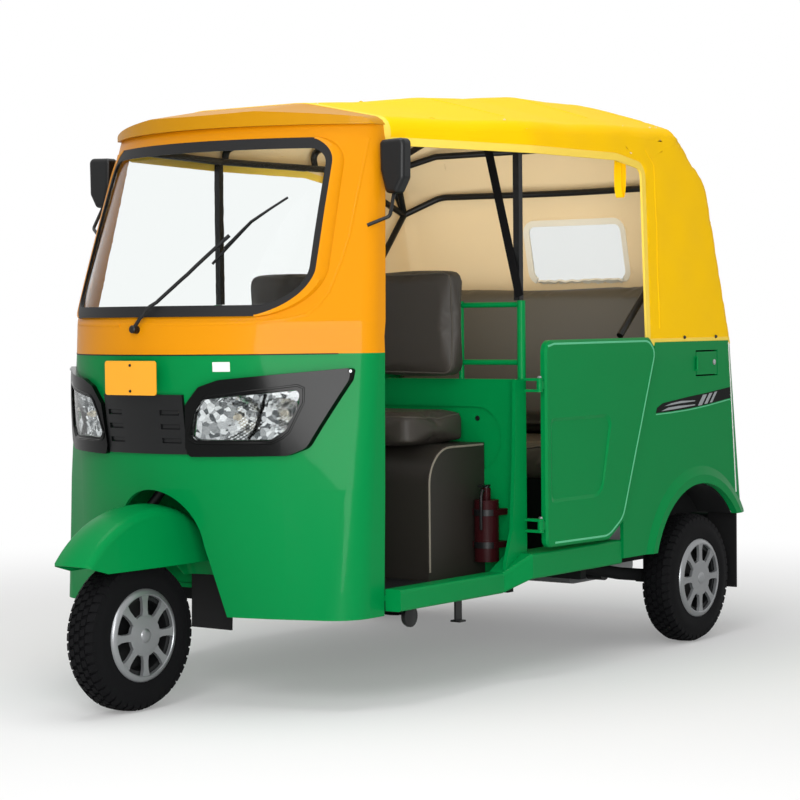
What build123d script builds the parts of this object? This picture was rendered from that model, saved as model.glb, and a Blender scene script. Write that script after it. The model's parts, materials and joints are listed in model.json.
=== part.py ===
"""Auto rickshaw: a three-wheeled cab with a soft canopy, as an assembly of separate pieces.

Millimetres. +X is the vehicle's left, -Y its front and +Z is up. The origin is on the ground,
in the middle of the overall length and width.
"""
import os
from math import cos, radians, sin, tan

from build123d import *

os.makedirs("parts", exist_ok=True)

# ---------------------------------------------------------------- driving dimensions
wheelbase = 1985
front_overhang = 242          # front fender's tip ahead of the front axle
rear_overhang = 420           # bumper behind the rear axle
rear_track = 1186
running_gap = 0.3             # beside pins, shafts and seats that don't weld
shut_line = 5                 # around doors and lids

tyre_radius = 207.5
tyre_half_width = 53
bead_radius = 110
cover_radius = 126            # bright wheel cover
cover_face = 57               # cover's face outboard of the wheel's middle
axle_radius = 11
hub_radius = 30

wall = 12                     # pressed cab walls, with their folded edges
cloth = 5                     # canopy with its lining
floor_top = 302
floor_thickness = 12
side_post_ahead = 940         # post behind the driver, ahead of the rear axle
side_post_x = 586
cab_half_width = 600
waist_height = 966            # where the lower and the upper cab panels meet
body_half_width = 645
tail_half = body_half_width - 4  # canopy and upper edge of the rear body
door_outer = body_half_width + 12
door_thickness = 20

steering_rake = 20
steering_ahead = 1925         # steering axis ahead of the rear axle, at the axle's height
handlebar_height = 1010
handlebar_half = 300

rear_axle_y = (wheelbase + front_overhang + rear_overhang) / 2 - rear_overhang
axle_height = tyre_radius
FAR = 2000                    # beyond every piece


def fore(distance):
    """y of a place that lies this far ahead of the rear axle."""
    return rear_axle_y - distance


front_axle_y = fore(wheelbase)


def steering_y(height):
    """y of the steering axis at this height."""
    return fore(steering_ahead) + (height - axle_height) * tan(radians(steering_rake))


def save(piece, node):
    """Label a finished piece and write it as one STEP file."""
    piece.part.label = node
    export_step(piece.part, f"parts/{node}.step")


def rod(points, thickness, bend=40):
    """Round bar of this thickness along the points, its corners bent to one radius."""
    corners = [Vector(*point) for point in points]
    path = Line(*corners) if len(corners) == 2 else FilletPolyline(*corners, radius=bend)
    section = Plane(path @ 0, z_dir=path % 0) * Circle(thickness / 2)
    return sweep(section, path=path)


def block(low, high):
    """Box between two opposite corners."""
    size = [b - a for a, b in zip(low, high)]
    middle = [(a + b) / 2 for a, b in zip(low, high)]
    return Pos(*middle) * Box(*size)


def box_here(low, high, mode=Mode.ADD):
    """Box between two opposite corners, in the piece being built."""
    with Locations(tuple((a + b) / 2 for a, b in zip(low, high))):
        Box(*[b - a for a, b in zip(low, high)], mode=mode)


def side_prism(points, x_low, x_high):
    """Outline of (y, z) points carried across from x_low to x_high."""
    face = Plane.YZ.offset(x_low) * make_face(Polyline(*points, close=True))
    return extrude(face, amount=x_high - x_low)


def front_prism(wire, y_front, y_back):
    """Outline drawn in (x, z) carried back from y_front to y_back."""
    face = Plane.XZ.offset(-y_front) * make_face(wire)
    return extrude(face, amount=y_front - y_back)


def both_sides(solid):
    """A piece and its mirror image on the vehicle's other side."""
    return [solid, mirror(solid, about=Plane.YZ)]


# ---------------------------------------------------------------- cab outlines
# Level outlines of the cab's front: an arc across the nose, a straight flank that leaves it at
# the turn angle, a corner arc and the side.
# columns: height, nose ahead of the rear axle, half width, nose radius, turn angle, corner radius
lower_nose = [
    (248, 1830, 545, 1100, 20, 110),
    (600, 1900, 552, 650, 35, 90),
    (waist_height, 1950, 556, 531, 45, 70),
]
upper_nose = [
    (waist_height, 1950, 556, 531, 45, 70),
    (1052, 1942, 553, 540, 45, 70),
    (1592, 1679, 482, 703, 38, 50),
]
pillar_ahead_low = 1560       # front pillar's rear edge below the waist
pillar_bend_height = 1010
pillar_ahead_top = 1450       # and at the roof


def nose_outline(height, nose, half_width, nose_radius, turn, corner_radius, rear, inset):
    """Closed level face of the nose at this height, drawn inwards by the inset."""
    half, arc, corner = half_width - inset, nose_radius - inset, corner_radius - inset
    centre = fore(nose - nose_radius)
    across, along = sin(radians(turn)), cos(radians(turn))
    flank_x, flank_y = arc * across, centre - arc * along
    corner_x = half - corner + corner * across
    corner_start = flank_y + (corner_x - flank_x) * tan(radians(turn))
    corner_end = corner_start + corner * along
    bisector = radians((turn + 90) / 2)
    middle = (half - corner + corner * sin(bisector), corner_end - corner * cos(bisector))
    wire = [
        ThreePointArc((-flank_x, flank_y), (0, centre - arc), (flank_x, flank_y)),
        Line((flank_x, flank_y), (corner_x, corner_start)),
        ThreePointArc((corner_x, corner_start), middle, (half, corner_end)),
        Line((half, corner_end), (half, rear)),
        Line((half, rear), (-half, rear)),
        Line((-half, rear), (-half, corner_end)),
        ThreePointArc((-half, corner_end), (-middle[0], middle[1]), (-corner_x, corner_start)),
        Line((-corner_x, corner_start), (-flank_x, flank_y)),
    ]
    return Plane.XY.offset(height) * make_face(wire)


def nose_block(levels, rear, inset=0.0):
    """Solid nose through the level outlines."""
    return loft([nose_outline(*row, rear, inset) for row in levels], ruled=True)


def stretched(levels, extra):
    """The same levels, and one more this far past each end."""
    def along(near, other, height):
        share = (height - near[0]) / (other[0] - near[0])
        return tuple(p + (q - p) * share for p, q in zip(near, other))
    first = along(levels[0], levels[1], levels[0][0] - extra)
    last = along(levels[-1], levels[-2], levels[-1][0] + extra)
    return [first, *levels, last]


# ---------------------------------------------------------------- lower front cowl
notch_half_low, notch_half = 208, 154
notch_spring, notch_top = 447, 595     # the wheel notch arches from one to the other
cowl_shell = nose_block(lower_nose, fore(pillar_ahead_low))
cowl_shell -= nose_block(stretched(lower_nose, 20), fore(pillar_ahead_low - 50), wall)
notch_wire = [
    Line((-notch_half_low, 200), (notch_half_low, 200)),
    Line((notch_half_low, 200), (notch_half, notch_spring)),
    ThreePointArc((notch_half, notch_spring), (0, notch_top), (-notch_half, notch_spring)),
    Line((-notch_half, notch_spring), (-notch_half_low, 200)),
]
cowl_shell -= front_prism(notch_wire, fore(2100), fore(1500))

# ---------------------------------------------------------------- wheel housing inside the nose
housing_half = 262
housing_top = 640
housing_back = 1600           # ahead of the rear axle
housing_wall = 8
column_hole = 40
housing_block = block((-housing_half, fore(2000), floor_top + running_gap),
                      (housing_half, fore(housing_back), housing_top))
housing_block -= block((-housing_half + housing_wall, fore(2100), 0),
                       (housing_half - housing_wall, fore(housing_back + housing_wall),
                        housing_top - housing_wall))
housing_block &= nose_block(stretched(lower_nose, 20), fore(1500), wall + running_gap)
column_bore = Location((0, steering_y(housing_top), housing_top), (-steering_rake, 0, 0))
housing_block -= column_bore * Cylinder(column_hole, 120)

with BuildPart() as wheel_housing:
    add(housing_block)
save(wheel_housing, "wheel_housing")

# ---------------------------------------------------------------- windscreen frame, glass and gasket
glass_low, glass_high = 1092, 1532
glass_half_low, glass_half_high = 428, 402
glass_corner_low, glass_corner_high = 105, 55
glass_thickness = 5
frame_rebate = 10             # frame's opening beyond the glass
gasket_lap = 24               # rubber beyond the glass, on the frame's face
gasket_inside = 6             # and over the glass
gasket_proud = 9


def window_bar(grow=0.0):
    """Bar with the window's front outline, grown outwards, from the nose to the pillars."""
    low, high = glass_half_low + grow, glass_half_high + grow
    corners = [(-low, glass_low - grow), (low, glass_low - grow),
               (high, glass_high + grow), (-high, glass_high + grow)]
    radii = [glass_corner_low + grow] * 2 + [glass_corner_high + grow] * 2
    return front_prism(FilletPolyline(*corners, radius=radii, close=True), fore(2100), fore(1400))


pillar_outline = [(fore(2100), waist_height), (fore(pillar_ahead_low), waist_height),
                  (fore(pillar_ahead_low), pillar_bend_height),
                  (fore(pillar_ahead_top), upper_nose[-1][0]), (fore(2100), upper_nose[-1][0])]
behind_pillar = fore(pillar_ahead_top - 60)

frame_shell = nose_block(upper_nose, behind_pillar)
frame_shell -= nose_block(stretched(upper_nose, 20), behind_pillar + 50, wall)
frame_shell &= side_prism(pillar_outline, -FAR, FAR)
frame_shell -= window_bar(frame_rebate)
glass_sheet = nose_block(upper_nose, behind_pillar, running_gap)
glass_sheet -= nose_block(stretched(upper_nose, 20), behind_pillar + 50, running_gap + glass_thickness)
glass_sheet &= window_bar()
gasket_ring = nose_block(upper_nose, behind_pillar, -gasket_proud)
gasket_ring -= nose_block(stretched(upper_nose, 20), behind_pillar + 50, -running_gap)
gasket_ring &= window_bar(gasket_lap)
gasket_ring -= window_bar(-gasket_inside)

with BuildPart() as windscreen_frame:
    add(frame_shell)
save(windscreen_frame, "windscreen_frame")

with BuildPart() as windscreen_glass:
    add(glass_sheet)
save(windscreen_glass, "windscreen_glass")

with BuildPart() as windscreen_gasket:
    add(gasket_ring)
save(windscreen_gasket, "windscreen_gasket")

# ---------------------------------------------------------------- roof and tail outlines
# Upright outlines across the roof: a flat crown, sloping quarters, shoulders and hanging sides.
# columns: ahead of the rear axle, crown height, crown half width, shoulder height,
#          shoulder half width, foot half width
roof_sections = [
    (1760, 1618, 190, 1590, 500, 515),
    (1450, 1671, 200, 1612, 486, 506),
    (900, 1724, 215, 1625, 602, 622),
    (437, 1758, 225, 1640, tail_half - 27, tail_half - 5),
    (60, 1756, 240, 1648, tail_half - 25, tail_half),
    (-430, 1720, 240, 1620, tail_half - 25, tail_half),
]
crown_bend, shoulder_bend = 300, 45
side_foot = 940


def roof_outline(ahead, crown, crown_half, shoulder, shoulder_half, foot_half, inset):
    """Closed upright face across the roof, drawn inwards by the inset."""
    foot = side_foot - 40
    corners = [(-foot_half + inset, foot), (-shoulder_half + inset, shoulder - inset),
               (-crown_half, crown - inset), (crown_half, crown - inset),
               (shoulder_half - inset, shoulder - inset), (foot_half - inset, foot)]
    radii = [0, shoulder_bend - inset, crown_bend, crown_bend, shoulder_bend - inset, 0]
    wire = FilletPolyline(*corners, radius=radii, close=True)
    return Plane.XZ.offset(-fore(ahead)) * make_face(wire)


def roof_block(inset=0.0):
    """Solid under the roof's skin."""
    return loft([roof_outline(*row, inset) for row in roof_sections], ruled=True)


# Level outlines of the tail, like the nose's: the same columns with behind the rear axle first.
tail_levels = [
    (330, 398, body_half_width, 2500, 10, 60),
    (981, 376, tail_half, 1500, 18, 70),
    (1482, 262, tail_half, 1200, 22, 100),
    (1640, 180, tail_half, 700, 35, 120),
    (1790, 20, tail_half, 700, 35, 120),
]


def tail_block(levels, front, inset=0.0):
    """Solid tail through the level outlines, its flat face at front."""
    faces = [nose_outline(height, 2 * rear_axle_y + behind, *row, -front, inset)
             for height, behind, *row in levels]
    return mirror(loft(faces, ruled=True), about=Plane.XZ)


# ---------------------------------------------------------------- roof header above the windscreen
header_low = upper_nose[-1][0] + running_gap
header_lip = 15               # brim ahead of the windscreen frame
header_rear = 1450            # ahead of the rear axle
brim = (upper_nose[-1][1] + header_lip, upper_nose[-1][2] + header_lip / 2, 703, 38, 50)
brim_levels = [(header_low, *brim), (1700, *brim)]
hollow_levels = [(header_low - 20, *brim), (1700, *brim)]
header_solid = nose_block(brim_levels, fore(header_rear)) & roof_block()
header_hollow = nose_block(hollow_levels, fore(header_rear - 20), 40) & roof_block(wall)
header_solid -= header_hollow

with BuildPart() as roof_header:
    add(header_solid)
save(roof_header, "roof_header")

# ---------------------------------------------------------------- canopy and its rear window
hem_front, hem_height, hem_rear = header_rear - 2, 1548, 1524
opening_rear = 298            # hood's front edge, ahead of the rear axle
opening_bend = 40
canopy_foot = 975
window_low, window_high, window_half = 1182, 1387, 200
window_bend = 35
window_sheet = 2

hem_wire = FilletPolyline(
    (fore(hem_front), hem_height), (fore(457), hem_height), (fore(opening_rear), hem_rear),
    (fore(opening_rear), canopy_foot), (fore(-600), canopy_foot), (fore(-600), 1900),
    (fore(hem_front), 1900), radius=[0, 0, opening_bend, 0, 0, 0, 0], close=True)
hem_prism = extrude(Plane.YZ.offset(-FAR) * make_face(hem_wire), amount=2 * FAR)
window_wire = FilletPolyline((-window_half, window_low), (window_half, window_low),
                             (window_half, window_high), (-window_half, window_high),
                             radius=window_bend, close=True)
window_cut = front_prism(window_wire, fore(-100), fore(-600))
hood_levels = tail_levels[1:]
hood_levels = stretched(hood_levels, 30)
skin = roof_block() & tail_block(hood_levels, fore(1800))
inner_skin = roof_block(cloth) & tail_block(stretched(hood_levels, 10), fore(1800) - 10, cloth)
canopy_shell = (skin - inner_skin) & hem_prism
window_layer = tail_block(hood_levels, fore(1800), 1.5) - tail_block(
    stretched(hood_levels, 10), fore(1800) - 10, 1.5 + window_sheet)

with BuildPart() as canopy:
    add(canopy_shell - window_cut)
save(canopy, "canopy")

with BuildPart() as rear_window:
    add(window_layer & window_cut)
save(rear_window, "rear_window")

# ---------------------------------------------------------------- lamps, grille and plate on the nose
bezel_points = [(156, 831), (197, 879), (250, 898), (525, 927), (521, 894), (436, 713),
                (396, 693), (155, 690), (145, 715)]
bezel_radii = [8, 20, 60, 8, 30, 30, 25, 12, 8]
lens_points = [(181, 811), (206, 845), (424, 872), (424, 835), (394, 761), (362, 735), (176, 736), (164, 750)]
lens_radii = [8, 20, 14, 20, 20, 25, 8, 6]
bezel_proud, lens_proud, lens_thickness = 16, 13, 3
reflector_depth = 45
band_half, band_low, band_high, band_proud = 144, 696, 858, 9
band_slot_rows, band_slot_pitch, band_slot_height = 3, 38, 14
plate_half, plate_low, plate_high, plate_thickness = 94, 857, 950, 3
plate_proud = 22              # ahead of the nose's middle


def nose_layer(outer, inner):
    """Layer of the lower nose between two insets."""
    solid = nose_block(stretched(lower_nose, 30), fore(pillar_ahead_low - 60), outer)
    return solid - nose_block(stretched(lower_nose, 60), fore(pillar_ahead_low - 90), inner)


def lamp_bar(points, radii, shrink=0.0):
    """Bar with a lamp's front outline, from the nose to behind it."""
    face = make_face(FilletPolyline(*points, radius=radii, close=True))
    if shrink:
        face = offset(face, amount=-shrink)
    return extrude(Plane.XZ.offset(-fore(2100)) * face, amount=-520)


bezel_layer = nose_layer(-bezel_proud, -running_gap)
lens_layer = nose_layer(-lens_proud, -lens_proud + lens_thickness)
reflector_layer = nose_layer(-4, reflector_depth)
bezel_ring = bezel_layer & (lamp_bar(bezel_points, bezel_radii) - lamp_bar(lens_points, lens_radii))
lens_sheet = lens_layer & lamp_bar(lens_points, lens_radii, running_gap)
reflector_body = reflector_layer & lamp_bar(lens_points, lens_radii, 2 * running_gap)
band = nose_layer(-band_proud, -running_gap) & block((-band_half, fore(2100), band_low),
                                                     (band_half, fore(1700), band_high))
for side in (-1, 1):
    for row in range(band_slot_rows):
        low = band_low + 30 + row * band_slot_pitch
        ends = sorted((side * 70, side * (band_half - 14)))
        band -= block((ends[0], fore(2100), low), (ends[1], fore(1700), low + band_slot_height))

plate_front = fore(lower_nose[-1][1] + plate_proud)

with BuildPart() as headlamp_bezels:
    add(both_sides(bezel_ring))
save(headlamp_bezels, "headlamp_bezels")

with BuildPart() as headlamp_lenses:
    add(both_sides(lens_sheet))
save(headlamp_lenses, "headlamp_lenses")

with BuildPart() as headlamp_reflectors:
    add(both_sides(reflector_body))
save(headlamp_reflectors, "headlamp_reflectors")

with BuildPart() as grille_band:
    add(band)
save(grille_band, "grille_band")

nose_face = nose_block(stretched(lower_nose, 20), fore(pillar_ahead_low), -running_gap)

with BuildPart() as front_plate:
    with BuildSketch(Plane.XZ.offset(-plate_front)):
        with Locations((0, (plate_low + plate_high) / 2)):
            RectangleRounded(2 * plate_half, plate_high - plate_low, 8)
    extrude(amount=-plate_thickness)
    with BuildSketch(Plane.XZ.offset(-plate_front - plate_thickness)):
        with Locations((-60, plate_high - 18), (60, plate_high - 18)):
            Circle(7)
    extrude(amount=-50)
    add(nose_face, mode=Mode.SUBTRACT)
save(front_plate, "front_plate")

cowl_shell -= both_sides(lamp_bar(lens_points, lens_radii))

with BuildPart() as front_cowl:
    add(cowl_shell)
save(front_cowl, "front_cowl")

# ---------------------------------------------------------------- floor, sills and partition
sill_inner, sill_bottom, sill_top = 548, 262, 322
sill_rear_outer, sill_rear_bottom, sill_rear_top = 640, 296, 370
sill_front, sill_rear = pillar_ahead_low - 1, 475
sill_step = side_post_ahead + 30
partition_thickness, partition_top = 20, 877
partition_half = side_post_x - 13.5
post_radius = 12.5
post_green_top = 1107
floor_half = sill_inner - running_gap

floor_main = block((-floor_half, fore(sill_front), floor_top - floor_thickness),
                   (floor_half, fore(sill_rear), floor_top))
floor_front = block((-600, fore(1800), floor_top - floor_thickness), (600, fore(sill_front), floor_top))
floor_front &= nose_block(stretched(lower_nose, 20), fore(1500), wall + running_gap)
floor_front -= block((-housing_half, fore(1900), 0), (housing_half, fore(housing_back + 12), FAR))

with BuildPart() as floor_pan:
    add(floor_main)
    add(floor_front)
save(floor_pan, "floor_pan")

sill_ramp, sill_softness = 90, 9


def sill_section(ahead, outer, low, high):
    """Upright outline of the sill at one station, its outer corners softened."""
    face = Plane.XZ.offset(-fore(ahead)) * make_face(
        Polyline((sill_inner, low), (outer, low), (outer, high), (sill_inner, high), close=True))
    return fillet(face.vertices().group_by(Axis.X)[-1], sill_softness)


front_size = (cab_half_width, sill_bottom, sill_top)
rear_size = (sill_rear_outer, sill_rear_bottom, sill_rear_top)
sill_stations = [sill_section(sill_front, *front_size), sill_section(sill_step + sill_ramp, *front_size),
                 sill_section(sill_step, *rear_size), sill_section(sill_rear, *rear_size)]
sill = loft(sill_stations, ruled=True)

with BuildPart() as side_sills:
    add(both_sides(sill))
save(side_sills, "side_sills")

with BuildPart() as partition_panel:
    panel_front, panel_back = fore(side_post_ahead + 10), fore(side_post_ahead + 10 - partition_thickness)
    box_here((-floor_half, panel_front, floor_top + running_gap), (floor_half, panel_back, partition_top))
    box_here((-partition_half, panel_front, sill_rear_top + running_gap),
             (partition_half, panel_back, partition_top))
    with BuildSketch(Plane.XZ.offset(-panel_front)):
        with Locations((0, 700)):
            RectangleRounded(2 * partition_half - 110, 190, 90)
    extrude(amount=-8, mode=Mode.SUBTRACT)
save(partition_panel, "partition_panel")

hinge_heights = (450, 860)
hinge_x, hinge_ahead = door_outer - 10, 938
hinge_pin_radius, knuckle_radius, knuckle_height = 5, 9, 24
door_front = 918
ladder_heights = (926, 1095)
ladder_inner = 372
ladder_radius = 8

post = Pos(side_post_x, fore(side_post_ahead), (sill_rear_top + post_green_top) / 2) * Cylinder(
    post_radius, post_green_top - sill_rear_top - 2 * running_gap)
for height in ladder_heights:
    post += rod([(ladder_inner, fore(side_post_ahead), height), (side_post_x, fore(side_post_ahead), height)],
                2 * ladder_radius)
post += rod([(ladder_inner, fore(side_post_ahead), partition_top + running_gap),
             (ladder_inner, fore(side_post_ahead), post_green_top)], 2 * ladder_radius)
for height in hinge_heights:
    for low in (height - knuckle_height / 2 - 8, height + knuckle_height / 2 + 0.5):
        post += block((side_post_x, fore(hinge_ahead + 9), low), (hinge_x, fore(hinge_ahead - 9), low + 7.5))
        post += Pos(hinge_x, fore(hinge_ahead), low + 3.75) * Cylinder(9, 7.5)
    post += Pos(hinge_x, fore(hinge_ahead), height) * Cylinder(hinge_pin_radius, knuckle_height + 16)

# A flat column beside each post, flowing forward onto the sill's ramp.
column_foot = sill_step + 80
column_foot_height = sill_rear_top - (sill_rear_top - sill_top) * 80 / sill_ramp + running_gap
column_side = [(fore(side_post_ahead - 2), sill_rear_top + running_gap),
               (fore(sill_step), sill_rear_top + running_gap), (fore(column_foot), column_foot_height),
               (fore(column_foot - 4), column_foot_height + 22), (fore(column_foot - 38), 440),
               (fore(column_foot - 52), 640), (fore(column_foot - 60), partition_top),
               (fore(side_post_ahead - 2), partition_top)]
post += side_prism(column_side, side_post_x + 1, side_post_x + post_radius)

with BuildPart() as partition_frame:
    add(both_sides(post))
save(partition_frame, "partition_frame")

# ---------------------------------------------------------------- doors
door_bevel = 6
pressing_depth, pressing_slope = 5, 12
pressing_low, pressing_high, pressing_margin = 512, 764, 22
door_outline = FilletPolyline(
    (fore(door_front), 990), (fore(323), 991), (fore(281), 950), (fore(480), 432),
    (fore(568), 380), (fore(door_front), 384), radius=[35, 20, 20, 30, 30, 25], close=True)
door_face = Plane.YZ.offset(door_outer - door_thickness) * make_face(door_outline)
door_leaf = extrude(door_face, amount=door_thickness)
door_leaf = chamfer(door_leaf.faces().sort_by(Axis.X)[-1].edges(), door_bevel)
pressing_rims = [
    Plane.YZ.offset(x) * make_face(FilletPolyline(
        (fore(door_front - pressing_margin - inset), pressing_low + inset),
        (fore(612), pressing_low + inset), (fore(548 + inset), pressing_high - inset),
        (fore(door_front - pressing_margin - inset), pressing_high - inset),
        radius=[14, 60, 30, 14], close=True))
    for x, inset in ((door_outer + 1, 0), (door_outer - pressing_depth, pressing_slope))]
door_leaf -= loft(pressing_rims, ruled=True)
for height in hinge_heights:
    knuckle = Pos(hinge_x, fore(hinge_ahead), height) * (
        Cylinder(knuckle_radius, knuckle_height)
        + Pos(0, 13, 0) * Box(8, 18, knuckle_height))
    door_leaf += knuckle - Pos(hinge_x, fore(hinge_ahead), height) * Cylinder(
        hinge_pin_radius + running_gap, knuckle_height + 2)

for name, leaf in zip(("door_left", "door_right"), both_sides(door_leaf)):
    with BuildPart() as door:
        add(leaf)
    save(door, name)

# ---------------------------------------------------------------- rear body, engine lid and fuel flap
body_top = canopy_foot - running_gap
body_bottom, body_rear_bottom = 313, 400
arch_radius, arch_height = 300, 215
lid_half, lid_low, lid_high = 330, 470, 810
flap_front, flap_back, flap_low, flap_high = 12, -132, 861, 945
body_levels = stretched(tail_levels[:2], 40)

body_shell = tail_block(body_levels, fore(700)) - tail_block(stretched(body_levels, 10), fore(800), wall)
body_outline = [(fore(262), body_top), (fore(472), 432), (fore(472), body_bottom), (fore(200), body_bottom),
                (fore(-200), body_rear_bottom), (fore(-600), body_rear_bottom), (fore(-600), body_top)]
body_shell &= side_prism(body_outline, -FAR, FAR)
body_shell -= Pos(0, rear_axle_y, arch_height) * (Rot(0, 90, 0) * Cylinder(arch_radius, 2 * FAR))
lid_layer = body_shell & block((-lid_half + shut_line, 0, lid_low + shut_line),
                               (lid_half - shut_line, FAR, lid_high - shut_line))
body_shell -= block((-lid_half, fore(0), lid_low), (lid_half, FAR, lid_high))
flap_pocket = block((0, fore(flap_front), flap_low), (FAR, fore(flap_back), flap_high))
flap_layer = body_shell & block((0, fore(flap_front - shut_line), flap_low + shut_line),
                                (FAR, fore(flap_back + shut_line), flap_high - shut_line))
body_shell -= flap_pocket

# Hinges: a strap and an eye on the lid, turning on a pin between two ears on the body.
hinge_eye, hinge_pin, hinge_half, ear_width = 6, 2.5, 18, 10
lid_hinge_x = 190
lid_hinge = (fore(-rear_overhang + 36.5), lid_high - 2.5)
flap_hinge = (body_half_width + 1, fore(flap_front - 2.5))
flap_hinge_height = (flap_low + flap_high) / 2


def bar_x(low, high, y, z, radius):
    """Cylinder along X."""
    return Pos((low + high) / 2, y, z) * (Rot(0, 90, 0) * Cylinder(radius, high - low))


lid_eyes, lid_ears = [], []
for x in (-lid_hinge_x, lid_hinge_x):
    y, z = lid_hinge
    eye = bar_x(x - hinge_half, x + hinge_half, y, z, hinge_eye)
    eye += block((x - hinge_half, y - 20, z - 13), (x + hinge_half, y - 1, z - 3))
    lid_eyes.append(eye - bar_x(x - 40, x + 40, y, z, hinge_pin + running_gap))
    ears = bar_x(x - hinge_half - ear_width, x + hinge_half + ear_width, y, z, hinge_pin)
    for low in (x - hinge_half - ear_width, x + hinge_half + 0.5):
        ears += bar_x(low, low + ear_width - 0.5, y, z, hinge_eye)
        ears += block((low, y - 20, z + 3), (low + ear_width - 0.5, y - 1, z + 13))
    lid_ears.append(ears)
lid_inside = tail_block(body_levels, fore(700), wall / 2)
lid_eyes = [eye - lid_inside for eye in lid_eyes]
lid_ears = [ears - lid_inside for ears in lid_ears]

flap_eye = Pos(*flap_hinge, flap_hinge_height) * Cylinder(4, 2 * hinge_half)
flap_eye += block((flap_hinge[0] - 4, flap_hinge[1], flap_hinge_height - hinge_half),
                  (flap_hinge[0] + 1, flap_hinge[1] + 10, flap_hinge_height + hinge_half))
flap_eye -= Pos(*flap_hinge, flap_hinge_height) * Cylinder(2 + running_gap, 4 * hinge_half)
flap_ears = Pos(*flap_hinge, flap_hinge_height) * Cylinder(2, 2 * (hinge_half + 6))
for low in (flap_hinge_height - hinge_half - 6, flap_hinge_height + hinge_half + 0.5):
    flap_ears += Pos(*flap_hinge, low + 2.75) * Cylinder(4, 5.5)
    flap_ears += block((flap_hinge[0] - 8, flap_hinge[1] - 10, low),
                       (flap_hinge[0], flap_hinge[1] + 1, low + 5.5))

# Flares of pressed sheet round the wheel arches.
flare_proud, flare_width, flare_lip = 11, 62, 24
flare_wire = Polyline((-4, arch_radius), (flare_proud, arch_radius), (flare_proud, arch_radius + flare_lip),
                      (-4, arch_radius + flare_width), close=True)
flare = Pos(body_half_width, rear_axle_y, arch_height) * revolve(Plane.XZ * make_face(flare_wire), Axis.X)
flare &= side_prism(body_outline, 0, FAR) & tail_block(body_levels, fore(700), -flare_proud)

with BuildPart() as rear_body:
    add(body_shell)
    add(both_sides(flare))
    add(lid_ears)
    add(flap_ears)
save(rear_body, "rear_body")

with BuildPart() as engine_lid:
    add(lid_layer)
    add(lid_eyes)
save(engine_lid, "engine_lid")

with BuildPart() as fuel_flap:
    add(flap_layer)
    add(flap_eye)
save(fuel_flap, "fuel_flap")

arch_inner_x, arch_wall = 505, 6
liner = Pos(0, rear_axle_y, arch_height) * (Rot(0, 90, 0) * Cylinder(arch_radius, 2 * FAR))
liner &= block((arch_inner_x, fore(400), body_rear_bottom), (FAR, fore(-400), FAR))
liner &= tail_block(body_levels, fore(700), wall + running_gap)
liner_hollow = Pos(0, rear_axle_y, arch_height) * (Rot(0, 90, 0) * Cylinder(arch_radius - arch_wall, 2 * FAR))
liner -= liner_hollow & block((arch_inner_x + arch_wall, fore(400), 0), (FAR, fore(-400), FAR))

with BuildPart() as wheel_arches:
    add(both_sides(liner))
save(wheel_arches, "wheel_arches")

# ---------------------------------------------------------------- seats
seat_plate = 12
bench_front, bench_top, bench_half = 470, 545, 498
bench_back = -120
bulkhead_half, bulkhead_top = 625, 955
cushion_height = 118
bench_cushion_half = 590
back_foot, back_top = (60, 668), (-40, 1175)
back_thickness = 100

bench = block((-bench_half, fore(bench_front), floor_top + running_gap),
              (bench_half, fore(bench_front - seat_plate), bench_top))
bench += block((-bench_half, fore(bench_front), bench_top - seat_plate),
               (bench_half, fore(bench_back), bench_top))
bench += block((-bulkhead_half, fore(bench_back), bench_top - seat_plate),
               (bulkhead_half, fore(bench_back - seat_plate), bulkhead_top))

with BuildPart() as passenger_seat_base:
    add(bench)
save(passenger_seat_base, "passenger_seat_base")

with BuildPart() as passenger_cushion:
    box_here((-bench_cushion_half, fore(bench_front + 25), bench_top + running_gap),
             (bench_cushion_half, fore(-15), bench_top + cushion_height))
    fillet(passenger_cushion.edges().filter_by(Axis.Z), 30)
    fillet(passenger_cushion.faces().sort_by(Axis.Z)[-1].edges(), 25)
save(passenger_cushion, "passenger_cushion")

back_outline = [(fore(back_foot[0] - 10), back_foot[1]), (fore(back_top[0]), back_top[1]),
                (fore(back_top[0] - back_thickness), back_top[1]), (fore(bench_back + 4), 960),
                (fore(bench_back + running_gap), 950), (fore(bench_back + running_gap), back_foot[1])]

with BuildPart() as passenger_backrest:
    with BuildSketch(Plane.YZ.offset(-bench_cushion_half)):
        with BuildLine():
            Polyline(*back_outline, close=True)
        make_face()
    extrude(amount=2 * bench_cushion_half)
    fillet(passenger_backrest.edges().filter_by(Axis.X).sort_by(Axis.Z)[-2:], 25)
save(passenger_backrest, "passenger_backrest")

driver_half, driver_front, driver_back = 458, 1235, 951
driver_base_top, driver_base_low = 690, 335
driver_cushion_top, driver_cushion_half = 787, 415
driver_back_half, driver_back_low, driver_back_top = 400, 880, 1205

with BuildPart() as driver_seat_base:
    with BuildSketch(Plane.YZ.offset(-driver_half)):
        with BuildLine():
            FilletPolyline((fore(driver_back), floor_top + running_gap), (fore(driver_back), driver_base_top),
                           (fore(driver_front), driver_base_top),
                           (fore(driver_front), floor_top + running_gap), radius=[0, 0, 110, 0], close=True)
        make_face()
    extrude(amount=2 * driver_half)
save(driver_seat_base, "driver_seat_base")

with BuildPart() as driver_cushion:
    box_here((-driver_cushion_half, fore(driver_front + 30), driver_base_top + running_gap),
             (driver_cushion_half, fore(driver_back + 6), driver_cushion_top))
    fillet(driver_cushion.edges().filter_by(Axis.Z), 40)
    fillet(driver_cushion.faces().sort_by(Axis.Z)[-1].edges(), 22)
save(driver_cushion, "driver_cushion")

with BuildPart() as driver_backrest:
    box_here((-driver_back_half, fore(1022), driver_back_low),
             (driver_back_half, fore(side_post_ahead + ladder_radius + running_gap), driver_back_top))
    fillet(driver_backrest.edges().filter_by(Axis.Y), 35)
    fillet(driver_backrest.faces().sort_by(Axis.Y)[0].edges(), 20)
save(driver_backrest, "driver_backrest")

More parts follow.
